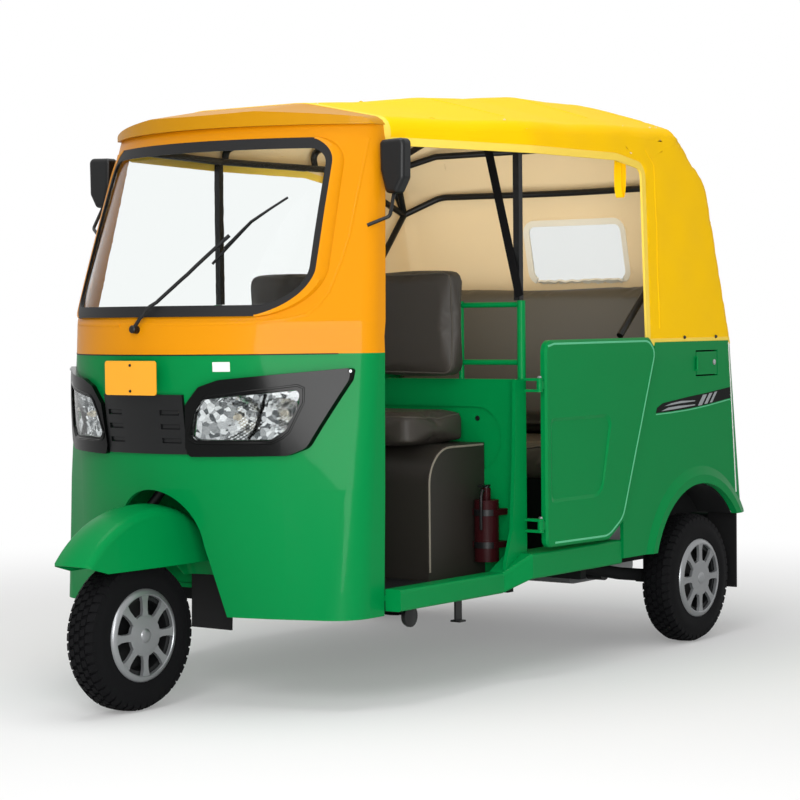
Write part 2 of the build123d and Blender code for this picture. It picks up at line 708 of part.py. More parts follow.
# ---------------------------------------------------------------- fire extinguisher
bottle_x, bottle_ahead, bottle_radius = 500, 1002, 36

with BuildPart() as fire_extinguisher:
    with BuildSketch(Plane.XY.offset(345)):
        with Locations((bottle_x, fore(bottle_ahead))):
            Circle(bottle_radius)
    extrude(amount=180)
    with BuildSketch(Plane.XY.offset(525)):
        with Locations((bottle_x, fore(bottle_ahead))):
            Circle(13)
    extrude(amount=35)
    for clamp_height in (385, 480):
        box_here((bottle_x - bottle_radius - 4, fore(bottle_ahead + 14), clamp_height),
                 (bottle_x + bottle_radius + 4, fore(side_post_ahead + 10 + running_gap), clamp_height + 18))
save(fire_extinguisher, "fire_extinguisher")

# ---------------------------------------------------------------- dashboard
dash_back, dash_low, dash_high = 1735, 812, 930
dash = block((-600, fore(2000), dash_low), (600, fore(dash_back), dash_high))
dash &= nose_block(lower_nose, fore(1500), wall + running_gap)
dash -= both_sides(nose_layer(0, reflector_depth + 4) & lamp_bar(lens_points, lens_radii, -4))

with BuildPart() as dashboard:
    add(dash)
save(dashboard, "dashboard")

# ---------------------------------------------------------------- roof frame
tube = 22
rail_height, rail_x_front, rail_x = 1566, 448, 580
bow_inset = cloth + tube / 2 + 4
hood_node = (rail_x, fore(-60), 1425)


def across(points):
    """Points on the left side, from the foot to the middle, and then their mirror image."""
    return points + [(-x, y, z) for x, y, z in reversed(points) if x > 0]


def roof_bow(row, height):
    """Corner points of a bow under one upright outline of the roof, standing on the rails."""
    ahead, crown, crown_half, shoulder, shoulder_half, foot_half = row
    y = fore(ahead)
    return across([(rail_x + 4, y, height), (shoulder_half - bow_inset, y, shoulder - bow_inset),
                   (crown_half, y, crown - bow_inset)])


rail = rod([(rail_x_front, fore(1500), rail_height), (side_post_x - 14, fore(side_post_ahead), rail_height),
            (rail_x, fore(330), rail_height), hood_node], tube, 60)
upper_post = Pos(side_post_x, fore(side_post_ahead), 0) * block(
    (3 - tube, 1 - tube / 2, post_green_top), (1.5, tube / 2 - 1, rail_height))
strut = rod([(rail_x, fore(380), body_top + tube), (rail_x, fore(94), 1245), hood_node], tube, 30)
cross_bows = [
    (roof_bow(roof_sections[2], rail_height), [30, 150, 150, 30]),
    (roof_bow(roof_sections[3], rail_height), [30, 150, 150, 30]),
    (across([hood_node, (582, fore(40), 1592), (225, fore(100), 1722)]), [60, 150, 150, 60]),
    (across([hood_node, (540, fore(40), 1578), (400, fore(-5), 1620), (0, fore(-130), 1632)]),
     [60, 60, 500, 60, 60]),
    (across([hood_node, (470, fore(-130), 1485), (0, fore(-225), 1485)]), [90, 900, 90]),
]
frame = both_sides(rail + upper_post + strut)
frame = frame[0] + frame[1]
for bow_points, bends in cross_bows:
    frame += rod(bow_points, tube, bends)

with BuildPart() as roof_frame:
    add(frame)
save(roof_frame, "roof_frame")

# ---------------------------------------------------------------- chassis, engine and rear suspension
chassis_rail_x, chassis_rail_width = 320, 44
chassis_low = 238
chassis_high = floor_top - floor_thickness - running_gap
chassis_front, chassis_rear = 1585, -330
cross_members = (1540, 960, 420, -280)

rails = block((chassis_rail_x - 22, fore(chassis_front), chassis_low),
              (chassis_rail_x + 22, fore(chassis_rear), chassis_high))
ladder = both_sides(rails)[0] + both_sides(rails)[1]
for place in cross_members:
    ladder += block((-chassis_rail_x, fore(place), chassis_low + 8),
                    (chassis_rail_x, fore(place - 36), chassis_high - 8))
for place in (1500, 960, 560):
    for side in (-1, 1):
        ends = sorted((side * chassis_rail_x, side * (sill_inner - 4)))
        ladder += block((ends[0], fore(place), chassis_low + 12), (ends[1], fore(place - 30), chassis_high))

with BuildPart() as chassis_frame:
    add(ladder)
save(chassis_frame, "chassis_frame")

engine_half, engine_front, engine_rear, engine_low, engine_top = 225, 130, -280, 172, 470

with BuildPart() as engine_block:
    box_here((-engine_half, fore(engine_front), engine_low), (engine_half, fore(engine_rear), engine_top))
    fillet(engine_block.edges().filter_by(Axis.X), 30)
    for side in (-1, 1):
        ends = sorted((side * engine_half, side * (chassis_rail_x - 22 - running_gap)))
        box_here((ends[0], fore(60), 250), (ends[1], fore(0), 280))
save(engine_block, "engine_block")

wheel_x = rear_track / 2
drum_radius, drum_in, drum_out = 84, -84, -14
arm_pivot = (chassis_rail_x + 22 + running_gap, fore(330), 262)

carrier = Pos(wheel_x + (drum_in + drum_out) / 2, rear_axle_y, axle_height) * (
    Rot(0, 90, 0) * Cylinder(drum_radius, drum_out - drum_in))
carrier += Pos(wheel_x + 10, rear_axle_y, axle_height) * (Rot(0, 90, 0) * Cylinder(axle_radius, 72))
carrier += Pos(arm_pivot[0] + 26, arm_pivot[1], arm_pivot[2]) * (Rot(0, 90, 0) * Cylinder(26, 52))
carrier += rod([(arm_pivot[0] + 30, arm_pivot[1], arm_pivot[2]), (460, fore(200), 230),
                (wheel_x + drum_in + 22, fore(60), 212)], 40, 60)
shock_x = 472
carrier += block((shock_x - 26, fore(70), 190), (wheel_x + drum_in + 10, fore(20), 228))

with BuildPart() as trailing_arms:
    add(both_sides(carrier))
save(trailing_arms, "trailing_arms")

with BuildPart() as drive_shafts:
    for side in (-1, 1):
        start, end = engine_half + running_gap, wheel_x + drum_in - running_gap
        with Locations((side * (start + end) / 2, rear_axle_y, axle_height)):
            Cylinder(15, end - start, rotation=(0, 90, 0))
        with Locations((side * (start + 30), rear_axle_y, axle_height)):
            Cylinder(30, 60, rotation=(0, 90, 0))
save(drive_shafts, "drive_shafts")

shock_low, shock_high = 228 + running_gap, bench_top - seat_plate - running_gap

with BuildPart() as rear_shocks:
    for side in (-1, 1):
        with Locations((side * shock_x, fore(45), (shock_low + shock_high) / 2)):
            Cylinder(11, shock_high - shock_low)
        with Locations((side * shock_x, fore(45), (shock_low + shock_high) / 2 + 20)):
            Cylinder(27, 190)
save(rear_shocks, "rear_shocks")

# ---------------------------------------------------------------- wheels
tyre_wire = [
    Line((-40, bead_radius), (40, bead_radius)),
    ThreePointArc((40, bead_radius), (tyre_half_width, 155), (46, 196)),
    ThreePointArc((46, 196), (0, tyre_radius), (-46, 196)),
    ThreePointArc((-46, 196), (-tyre_half_width, 155), (-40, bead_radius)),
]
rim_wire = Polyline((-44, bead_radius - 1), (-44, bead_radius - 12), (-8, 96), (-8, axle_radius + running_gap),
                    (49, axle_radius + running_gap), (49, hub_radius), (1, hub_radius), (1, 96),
                    (44, bead_radius - 12), (44, bead_radius - 1), close=True)
cover_wire = Polyline((49.5, 0), (cover_face, 0), (cover_face, 104), (51, cover_radius), (48, cover_radius),
                      (53, 103), (53, hub_radius + 4), (49.5, hub_radius + 4), close=True)
hole_count, hole_in, hole_out, hole_in_half, hole_out_half = 8, 52, 90, 8, 14


def wheel_place(x, y, face):
    """Frame of a wheel whose bright cover looks to +X (face 1) or -X (face -1)."""
    return Location((x, y, axle_height), (0, 0, 0 if face > 0 else 180))


def wheel_solids(place):
    """Tyre, and rim with its cover, at their place."""
    tyre = revolve(Plane.XZ * make_face(tyre_wire), Axis.X)
    rim = revolve(Plane.XZ * make_face(rim_wire), Axis.X)
    cover = revolve(Plane.XZ * make_face(cover_wire), Axis.X)
    hole = extrude(Plane.YZ.offset(45) * make_face(Polyline(
        (-hole_in_half, hole_in), (hole_in_half, hole_in), (hole_out_half, hole_out),
        (-hole_out_half, hole_out), close=True)), amount=30)
    for step in range(hole_count):
        cover -= Rot(360 / hole_count * (step + 0.5), 0, 0) * hole
    return place * tyre, place * (rim + cover)


wheels = {
    "front": wheel_place(0, front_axle_y, 1),
    "rear_left": wheel_place(wheel_x, rear_axle_y, 1),
    "rear_right": wheel_place(-wheel_x, rear_axle_y, -1),
}
for name, place in wheels.items():
    tyre_solid, rim_solid = wheel_solids(place)
    with BuildPart() as tyre:
        add(tyre_solid)
    save(tyre, f"{name}_tyre")
    with BuildPart() as rim:
        add(rim_solid)
    save(rim, f"{name}_rim")

# ---------------------------------------------------------------- front fender's form
fender_top, fender_middle = 562, 1935
fender_half, fender_shoulder_half, fender_drop = 80, 68, 14
fender_skirt = 390
fender_sheet = 3
fender_rear_low = 338
front_sweep, rear_sweep = 370, 300      # side radii ahead of and behind its middle


def fender_ring(sweep_radius, inset):
    """Ring with the fender's section, around a level axis under its middle."""
    base = fender_top - sweep_radius
    half, shoulder, top = fender_half - inset, fender_shoulder_half - inset, sweep_radius - inset
    foot = fender_skirt - 60 - base
    wire = FilletPolyline((-half, foot), (-shoulder, top - fender_drop), (0, top),
                          (shoulder, top - fender_drop), (half, foot),
                          radius=[0, 26 - inset, 150, 26 - inset, 0], close=True)
    ring = revolve(Plane.XZ * make_face(wire), Axis.X)
    return Pos(0, fore(fender_middle), base) * ring


def fender_block(inset):
    """Solid under the fender's skin."""
    middle = fore(fender_middle)
    front = fender_ring(front_sweep, inset) & block((-FAR, -FAR, 0), (FAR, middle, FAR))
    rear = fender_ring(rear_sweep, inset) & block((-FAR, middle, 0), (FAR, FAR, FAR))
    return front + rear


# ---------------------------------------------------------------- steering head, fork and handlebar
stem_radius = 16
head_low, head_high = housing_top + 10, 800
fork_top, arm_x, arm_thickness = 600, -96, 28
head_place = Location((0, steering_y(720), 720), (-steering_rake, 0, 0))

head = head_place * Cylinder(30, 150)
head += block((-70, steering_y(housing_top) - 62, housing_top + running_gap),
              (70, steering_y(housing_top) + 62, housing_top + 12))
head_bore = head_place * Cylinder(stem_radius + running_gap, 400)
head_relief = Location((0, steering_y(housing_top), housing_top), (-steering_rake, 0, 0)) * Cylinder(24, 60)

with BuildPart() as steering_head:
    add(head - head_bore)
save(steering_head, "steering_head")

stem = rod([(0, steering_y(fork_top), fork_top), (0, steering_y(handlebar_height), handlebar_height)],
           2 * stem_radius)
arm = rod([(0, steering_y(fork_top), fork_top), (arm_x / 2, steering_y(fork_top), fork_top),
           (arm_x, steering_y(fork_top - 72), fork_top - 72), (arm_x, fore(1850), 470),
           (arm_x, fore(1890), 300), (arm_x, front_axle_y, axle_height)], arm_thickness, 36)
fork_drum = Pos(-33, front_axle_y, axle_height) * (Rot(0, 90, 0) * Cylinder(drum_radius, 42))
fork_axle = Pos(-44, front_axle_y, axle_height) * (Rot(0, 90, 0) * Cylinder(axle_radius, 184))
shock_outboard = -126
shock_top = (fore(1840), 468)
shock_pin = Pos((arm_x + shock_outboard) / 2 - 4, *shock_top) * (Rot(0, 90, 0) * Cylinder(7, 50))
pin_web = block((arm_x - 10, shock_top[0] - 20, shock_top[1] - 12),
                (arm_x + 10, shock_top[0] + 8, shock_top[1] + 12))
fender_bracket = block((arm_x, fore(1862), 458), (-fender_half / 2, fore(1838), 484))
fender_bracket -= fender_block(-running_gap)

with BuildPart() as steering_fork:
    add(stem + arm + fork_drum + fork_axle + shock_pin + pin_web + fender_bracket)
save(steering_fork, "steering_fork")

shock_line = [(shock_outboard, front_axle_y, axle_height), (shock_outboard, *shock_top)]
shock_solid = rod(shock_line, 16)
run = (Vector(*shock_line[1]) - Vector(*shock_line[0])).normalized()
spring_ends = [tuple(Vector(*shock_line[0]) + run * 95), tuple(Vector(*shock_line[1]) - run * 45)]
shock_solid += rod(spring_ends, 30)
for end, pin in zip(shock_line, (axle_radius, 7)):
    shock_solid += Pos(*end) * (Rot(0, 90, 0) * Cylinder(pin + 7, 22))
for end, pin in zip(shock_line, (axle_radius, 7)):
    shock_solid -= Pos(*end) * (Rot(0, 90, 0) * Cylinder(pin + running_gap, 30))

with BuildPart() as front_shock:
    add(shock_solid)
save(front_shock, "front_shock")

bar_y = steering_y(handlebar_height)
bar_points = [(-handlebar_half, bar_y + 55, handlebar_height + 14), (-110, bar_y, handlebar_height),
              (110, bar_y, handlebar_height), (handlebar_half, bar_y + 55, handlebar_height + 14)]
grip_length = 112
bar_solid = rod(bar_points, 22, 60)
bar_solid += block((-62, bar_y - 45, handlebar_height - 20), (62, bar_y + 45, handlebar_height + 45))
bar_solid -= stem

with BuildPart() as handlebar:
    add(bar_solid)
    fillet(handlebar.edges().filter_by(Axis.Z).sort_by(Axis.X)[:2], 10)
save(handlebar, "handlebar")

bar_outward = (Vector(*bar_points[3]) - Vector(*bar_points[2])).normalized()
grip_inner = Vector(*bar_points[3]) - bar_outward * grip_length
grip = rod([tuple(grip_inner), tuple(Vector(*bar_points[3]) + bar_outward * 4)], 34)
grip -= rod([tuple(grip_inner - bar_outward * 5), tuple(Vector(*bar_points[3]) + bar_outward * running_gap)],
            22 + 2 * running_gap)

with BuildPart() as grips:
    add(both_sides(grip))
save(grips, "grips")

# ---------------------------------------------------------------- front fender and its flap
fender_trim = [(fore(wheelbase + front_overhang), fender_skirt + 25), (fore(2140), fender_skirt),
               (fore(1745), fender_skirt), (fore(1690), fender_rear_low), (fore(1600), fender_rear_low),
               (fore(1600), 700), (fore(wheelbase + front_overhang), 700)]
fender_front = fore(wheelbase + front_overhang)
fender_plan = FilletPolyline((-fender_half, fender_front), (fender_half, fender_front),
                             (fender_half, fore(1600)), (-fender_half, fore(1600)),
                             radius=[66, 66, 1, 1], close=True)
fender_shell = (fender_block(0) - fender_block(fender_sheet)) & side_prism(fender_trim, -FAR, FAR)
fender_shell &= extrude(Plane.XY.offset(fender_rear_low) * make_face(fender_plan), amount=300)

with BuildPart() as front_fender:
    add(fender_shell)
save(front_fender, "front_fender")

flap_top_y = fore(fender_middle - 284)

with BuildPart() as fender_flap:
    with BuildSketch(Plane.YZ.offset(-74)):
        with BuildLine():
            Polyline((flap_top_y - 1, fender_rear_low - running_gap),
                     (flap_top_y + 9, fender_rear_low - running_gap),
                     (flap_top_y + 3, 185), (flap_top_y - 4, 185), close=True)
        make_face()
    extrude(amount=148)
save(fender_flap, "fender_flap")

# ---------------------------------------------------------------- mirrors and wiper
mirror_ahead, mirror_thickness = 1500, 36
mirror_wire = FilletPolyline((508, 1546), (592, 1549), (590, 1440), (566, 1399), (528, 1399), (510, 1465),
                             radius=[14, 16, 18, 14, 14, 18], close=True)
mirror_head = extrude(Plane.XZ.offset(-fore(mirror_ahead) - mirror_thickness / 2) * make_face(mirror_wire),
                      amount=mirror_thickness)
mirror_head = fillet(mirror_head.faces().sort_by(Axis.Y)[0].edges(), 12)
stalk = rod([(505, fore(1566), 1312), (558, fore(1534), 1336), (548, fore(mirror_ahead), 1404)], 10, 14)
stalk -= nose_block(upper_nose, fore(pillar_ahead_top), -running_gap)

with BuildPart() as mirrors:
    add(both_sides(mirror_head + stalk))
save(mirrors, "mirrors")

# ---------------------------------------------------------------- tail lamps, bumper and mud flaps
lamp_in, lamp_out, lamp_low, lamp_high = 505, 595, 640, 860
lamp_layer = tail_block(body_levels, fore(700), -14) - tail_block(stretched(body_levels, 10), fore(800),
                                                                  -running_gap)
tail_lamp = lamp_layer & block((lamp_in, fore(-150), lamp_low), (lamp_out, FAR, lamp_high))
bumper_thickness = 32
bumper_height = 372
bumper_line = fore(-rear_overhang) - bumper_thickness / 2

with BuildPart() as tail_lamps:
    add(both_sides(tail_lamp))
save(tail_lamps, "tail_lamps")

bumper_straight = 440
bumper_end = rod([(bumper_straight - 1, bumper_line, bumper_height), (470, bumper_line, bumper_height),
                  (560, bumper_line - 60, bumper_height)], bumper_thickness, 60)

with BuildPart() as rear_bumper:
    with Locations(Location((0, bumper_line, bumper_height), (0, 90, 0))):
        Cylinder(bumper_thickness / 2, 2 * bumper_straight)
    add(both_sides(bumper_end))
    for side in (-1, 1):
        box_here((side * chassis_rail_x - 15, fore(chassis_rear) + running_gap, chassis_low + 4),
                 (side * chassis_rail_x + 15, bumper_line, chassis_low + 34))
        box_here((side * chassis_rail_x - 15, bumper_line - 22, chassis_low + 4),
                 (side * chassis_rail_x + 15, bumper_line + 8, bumper_height))
save(rear_bumper, "rear_bumper")

mudflap = block((body_half_width - 115, fore(-262), 150),
                (body_half_width - 9, fore(-268), body_rear_bottom - running_gap))

with BuildPart() as rear_mudflaps:
    add(both_sides(mudflap))
save(rear_mudflaps, "rear_mudflaps")
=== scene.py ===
# %% [markdown]
# # A three-wheeled auto rickshaw, dressed in Blender
# The frame is a finished CAD part whose pieces already have their real sizes and places. This
# lesson gives each piece its real finish, and builds what CAD leaves out: cloth, padding, tread,
# lamps, seams, screws and trim. It could all be one long script, but short cells let a reader run
# one step, look at what it printed, and only then go on.

# %% Load the frame
import json
import math

import bmesh
import bpy
import numpy as np
from mathutils import Matrix, Vector
from mathutils.bvhtree import BVHTree

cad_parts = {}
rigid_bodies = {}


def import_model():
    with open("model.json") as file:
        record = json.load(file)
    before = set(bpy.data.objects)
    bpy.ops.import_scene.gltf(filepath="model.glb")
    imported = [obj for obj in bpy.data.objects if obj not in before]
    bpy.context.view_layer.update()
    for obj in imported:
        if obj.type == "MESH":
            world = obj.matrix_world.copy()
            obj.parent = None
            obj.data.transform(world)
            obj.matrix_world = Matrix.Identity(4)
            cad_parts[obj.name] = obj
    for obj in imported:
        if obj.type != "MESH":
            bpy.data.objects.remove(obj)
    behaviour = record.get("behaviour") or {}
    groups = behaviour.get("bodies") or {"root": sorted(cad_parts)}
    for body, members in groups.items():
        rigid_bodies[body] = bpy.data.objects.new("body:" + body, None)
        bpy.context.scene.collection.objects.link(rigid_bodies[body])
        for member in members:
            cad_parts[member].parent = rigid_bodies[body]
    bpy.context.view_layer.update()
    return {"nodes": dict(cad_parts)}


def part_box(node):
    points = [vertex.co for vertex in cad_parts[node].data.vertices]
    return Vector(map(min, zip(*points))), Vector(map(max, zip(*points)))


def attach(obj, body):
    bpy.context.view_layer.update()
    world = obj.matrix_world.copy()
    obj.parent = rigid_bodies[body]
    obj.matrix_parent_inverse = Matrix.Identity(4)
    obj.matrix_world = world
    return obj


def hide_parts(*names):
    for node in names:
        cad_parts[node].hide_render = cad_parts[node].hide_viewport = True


for old in list(bpy.data.objects):
    bpy.data.objects.remove(old)
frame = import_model()
nodes = frame["nodes"]
scene = bpy.context.scene

# %% [markdown]
# The vehicle is drawn in millimetres, and lengthways places are easiest to give as a distance ahead
# of the rear axle, because both axles are what a mechanic measures from. Blender works in metres,
# so one helper turns such a place into a point. x is to the vehicle's left and z is up. Trim is set on
# panels by rays, and three more helpers say where those start.

# %% Places on the vehicle
REAR_AXLE_Y = 903.5
AXLE_HEIGHT = 207.5


def place(ahead, x, z):
    """Point this far ahead of the rear axle, in metres."""
    return Vector((x / 1000, (REAR_AXLE_Y - ahead) / 1000, z / 1000))


def from_ahead(x, z):
    """Start of a ray that looks back at the nose, clear of the whole vehicle."""
    return Vector((x / 1000, -1.4, z / 1000))


def from_behind(x, z):
    """Start of a ray that looks forward at the tail, clear of the whole vehicle."""
    return Vector((x / 1000, 1.5, z / 1000))


def from_side(ahead, side, z):
    """Start of a ray that looks in from the left (side 1) or right (-1), clear of the whole vehicle."""
    return place(ahead, side * 900, z)


REARWARD, FORWARD, DOWNWARD = Vector((0, 1, 0)), Vector((0, -1, 0)), Vector((0, 0, -1))
front_hub = place(1985, 0, AXLE_HEIGHT)
rear_hubs = {"left": place(0, 593, AXLE_HEIGHT), "right": place(0, -593, AXLE_HEIGHT)}
print("front hub", [round(v, 3) for v in front_hub])

# %% [markdown]
# Colours are written as the hex values a paint card or a screen would show. Blender's shaders want
# linear light, so one function undoes the screen's curve. Nodes could be linked by hand each time,
# but one small helper that adds a node with its settings and its links keeps every tree short. Most
# finishes here differ only in what raises their surface, so a second helper makes a whole such finish.

# %% Colour and node helpers
def srgb(hex_colour):
    """Hex colour as linear red, green, blue and alpha."""
    values = [int(hex_colour[i:i + 2], 16) / 255 for i in (1, 3, 5)]
    return (*[v / 12.92 if v <= 0.04045 else ((v + 0.055) / 1.055) ** 2.4 for v in values], 1.0)


def add_node(tree, kind, settings=None, inputs=None):
    """Adds a node. settings are its own properties, and inputs are values or other nodes' outputs."""
    made = tree.nodes.new(kind)
    for name, value in (settings or {}).items():
        setattr(made, name, value)
    for name, value in (inputs or {}).items():
        if isinstance(value, bpy.types.NodeSocket):
            tree.links.new(value, made.inputs[name])
        else:
            made.inputs[name].default_value = value
    return made


def finish_of(name, colour, roughness, **sockets):
    """A material with one Principled shader. Returns the material, its tree and the shader."""
    made = bpy.data.materials.new(name)
    made.use_nodes = True
    made.diffuse_color = srgb(colour)
    tree = made.node_tree
    shader = tree.nodes["Principled BSDF"]
    shader.inputs["Base Color"].default_value = srgb(colour)
    shader.inputs["Roughness"].default_value = roughness
    for socket, value in sockets.items():
        shader.inputs[socket.replace("_", " ")].default_value = value
    return made, tree, shader


def raised_finish(name, colour, roughness, patterns, repeat, strength, depth, **sockets):
    """A finish whose surface is raised in patterns that repeat about every so many mm, depth in mm.

    patterns holds each one's node kind, settings, inputs and output. Two patterns are multiplied.
    """
    made, tree, shader = finish_of(name, colour, roughness, **sockets)
    spot = add_node(tree, "ShaderNodeTexCoord").outputs["Object"]
    where = add_node(tree, "ShaderNodeMapping", inputs={"Vector": spot, "Scale": [1000 / repeat] * 3})
    heights = [add_node(tree, kind, settings,
                        {"Vector": where.outputs[0], "Scale": 1.0, **inputs}).outputs[output]
               for kind, settings, inputs, output in patterns]
    height = heights[0]
    for other in heights[1:]:
        height = add_node(tree, "ShaderNodeMath", {"operation": "MULTIPLY"}, {0: height, 1: other}).outputs[0]
    relief = add_node(tree, "ShaderNodeBump",
                      inputs={"Height": height, "Strength": strength, "Distance": depth / 1000})
    tree.links.new(relief.outputs["Normal"], shader.inputs["Normal"])
    return made


print("mid grey is", [round(v, 3) for v in srgb("#808080")])

# %% [markdown]
# The cab is pressed steel sprayed with two-pack enamel: a hard clear gloss over a flat colour, with
# a faint orange peel. Its waves are about 4 mm across, too fine to show here, so they are drawn 9 mm
# wide. A weak coat layer gives the gloss, and relief of a twentieth of a millimetre gives the peel. All the
# enamel colours are made the same way.

# %% Sprayed enamel on pressed steel
def sprayed_enamel(name, colour):
    peel = ("ShaderNodeTexNoise", {}, {"Detail": 1.0}, "Fac")
    return raised_finish(name, colour, 0.4, [peel], 9, 0.35, 0.05, IOR=1.5, Specular_IOR_Level=0.06,
                         Coat_Weight=0.06, Coat_Roughness=0.05)


green_enamel = sprayed_enamel("green_sprayed_enamel_on_steel", "#007f3f")
orange_enamel = sprayed_enamel("amber_sprayed_enamel_on_steel", "#d68a08")
header_enamel = sprayed_enamel("golden_yellow_enamel_on_roof_header", "#c2870c")
# The light green is a painted highlight: on the door beads it stands for the light caught by a rounded edge. It
# also colours the thin line under each stripe.
highlight_and_line_green_enamel = sprayed_enamel("light_green_painted_highlight_and_stripe_line", "#5fbc8c")
maroon_enamel = sprayed_enamel("maroon_enamel_on_steel_cylinder", "#2c0c0f")

# %% [markdown]
# The canopy is polyester canvas coated with vinyl. Its threads are about 0.7 mm apart, too fine to show
# from across the room, so the weave is drawn 3 mm wide. Two crossed wave patterns make the over and
# under of the threads. The lining is plain cotton drill in tan, drawn the same way.

# %% Coated canvas and its lining
def woven(name, colour, roughness, thread):
    crossed = [("ShaderNodeTexWave", {"bands_direction": axis}, {"Distortion": 0.6, "Detail": 1.0}, "Fac")
               for axis in ("Y", "Z")]
    return raised_finish(name, colour, roughness, crossed, thread * 2, 0.25, 0.25, IOR=1.45,
                         Specular_IOR_Level=0.08)


canopy_canvas = woven("yellow_vinyl_coated_canvas", "#ffc904", 0.55, 3.0)
lining_drill = woven("tan_cotton_drill_lining", "#f4dcb0", 0.85, 3.0)
window_tape = woven("cream_woven_window_tape", "#f2ecda", 0.7, 2.0)
binding_tape = woven("light_yellow_woven_binding_tape", "#fbd85a", 0.7, 2.0)

# %% [markdown]
# Seats are covered with vinyl leathercloth: a moulded grain of small cells, drawn 3.2 mm across, darker
# in the valleys only through shading. A Voronoi pattern gives cells, and its distance from the edges gives
# the valleys, so the grain looks like leather instead of noise.

# %% Vinyl leathercloth
def leathercloth(name, colour):
    cells = ("ShaderNodeTexVoronoi", {"feature": "DISTANCE_TO_EDGE"}, {}, "Distance")
    return raised_finish(name, colour, 0.5, [cells], 3.2, 0.35, 0.5, IOR=1.5, Specular_IOR_Level=0.3)


seat_vinyl = leathercloth("dark_grey_vinyl_leathercloth", "#38342f")
# The seat box takes a darker copy of the seat vinyl: painted shade for the box under the cushion.
shaded_seat_box_vinyl = leathercloth("dark_grey_vinyl_leathercloth_with_painted_shade_on_seat_box", "#26231f")
bench_vinyl = leathercloth("brown_grey_vinyl_leathercloth_on_bench", "#4d483e")

# %% [markdown]
# Black parts are never the same black. Powder coat on tube is satin with a fine grain, moulded ABS is
# glossier and almost mirror smooth on lamp surrounds, and rubber is matt and slightly grey. They could
# share one black, but the eye reads their edges by the difference.

# %% Blacks
def grained(name, colour, roughness, grain, depth, **sockets):
    grit = ("ShaderNodeTexNoise", {}, {"Detail": 2.0}, "Fac")
    return raised_finish(name, colour, roughness, [grit], grain, 0.4, depth, **sockets)


powder_black = grained("black_powder_coat_on_steel_tube", "#0d0e0f", 0.42, 1.5, 0.08, Specular_IOR_Level=0.3)
moulded_black = grained("black_moulded_ABS", "#0e0f10", 0.38, 1.2, 0.06, Specular_IOR_Level=0.3)
gloss_black = grained("glossy_black_ABS_lamp_surround", "#050606", 0.2, 6.0, 0.03, Specular_IOR_Level=0.14)
black_rubber = grained("black_EPDM_rubber", "#101011", 0.6, 1.6, 0.1, Specular_IOR_Level=0.25)
tyre_rubber = grained("black_tyre_rubber", "#08080a", 0.75, 2.2, 0.25, Specular_IOR_Level=0.12)
underseal = grained("black_bitumen_underseal", "#101112", 0.8, 7.0, 0.6, Specular_IOR_Level=0.2)

# %% [markdown]
# Metals keep Blender's default index of refraction and are told apart by roughness: vacuum-chromed
# lamp bowls are near mirrors, painted wheel covers are bright but soft, cast aluminium is grainy and
# dull, and zinc-plated screws sit between. A lamp bowl's facets each mirror another part of the room, so
# a pattern of cells 14 mm wide paints each its own grey into the base colour: painted reflections.

# %% Metals, glass and lamp plastics
lamp_chrome, chrome_tree, chrome_shader = finish_of("vacuum_chromed_reflector", "#e3e5e8", 0.16,
                                                    Metallic=1.0)
reflection_cell_width = 14
chrome_place = add_node(chrome_tree, "ShaderNodeTexCoord").outputs["Object"]
chrome_reflection_cells = add_node(chrome_tree, "ShaderNodeTexVoronoi",
                         inputs={"Vector": chrome_place, "Scale": 1000 / reflection_cell_width})
# Base colour from dark to light grey, cell by cell: painted reflections of the room in the bowl's facets.
chrome_painted_reflections = add_node(chrome_tree, "ShaderNodeValToRGB", inputs={"Fac": chrome_reflection_cells.outputs["Color"]})
for stop, tone in zip(chrome_painted_reflections.color_ramp.elements, ("#5c6062", "#eef0f1")):
    stop.color = srgb(tone)
chrome_painted_reflections.color_ramp.elements[0].position = 0.25
chrome_painted_reflections.color_ramp.elements[1].position = 0.85
chrome_tree.links.new(chrome_painted_reflections.outputs["Color"], chrome_shader.inputs["Base Color"])
mirror_silver, _, _ = finish_of("silvered_mirror_glass", "#dfe3e6", 0.03, Metallic=1.0)
zinc_plate = grained("zinc_plated_steel_fastener", "#a9abad", 0.35, 3.0, 0.05, Metallic=1.0)
cast_aluminium = grained("sand_cast_aluminium", "#8d8f90", 0.55, 3.0, 0.3, Metallic=0.9)
spring_steel = grained("black_phosphated_spring_steel", "#232426", 0.45, 3.0, 0.06, Metallic=0.6)
wheel_silver = grained("silver_painted_wheel_cover", "#8b8d8f", 0.32, 5.0, 0.04, Metallic=0.65)
screen_glass, _, _ = finish_of("laminated_clear_windscreen_glass", "#f4f8f7", 0.0, IOR=1.1,
                               Transmission_Weight=1.0)
lens_glass, _, _ = finish_of("clear_polycarbonate_lens", "#fbfdfd", 0.02, IOR=1.15,
                             Transmission_Weight=1.0)
clear_vinyl, _, _ = finish_of("clear_flexible_vinyl_window", "#eef1f0", 0.12, IOR=1.1,
                              Transmission_Weight=0.9)
bulb_glass, _, _ = finish_of("bulb_glass", "#fff7e6", 0.05, IOR=1.3, Transmission_Weight=0.7)
red_lens, _, _ = finish_of("red_acrylic_lens", "#a80d10", 0.12, IOR=1.49, Coat_Weight=0.5)
amber_lens, _, _ = finish_of("amber_acrylic_lens", "#e0640b", 0.12, IOR=1.49, Coat_Weight=0.5)
white_lens, _, _ = finish_of("frosted_white_acrylic_lens", "#dcdfe0", 0.2, IOR=1.49, Coat_Weight=0.5)
plate_amber, _, _ = finish_of("blank_amber_plate_paint", "#f2a516", 0.4, IOR=1.5, Coat_Weight=0.3)
plate_white, _, _ = finish_of("blank_white_plate_paint", "#e3e4e0", 0.4, IOR=1.5)
stripe_grey, _, _ = finish_of("silver_grey_vinyl_film", "#8f9496", 0.4, IOR=1.5)
print("materials", len(bpy.data.materials))
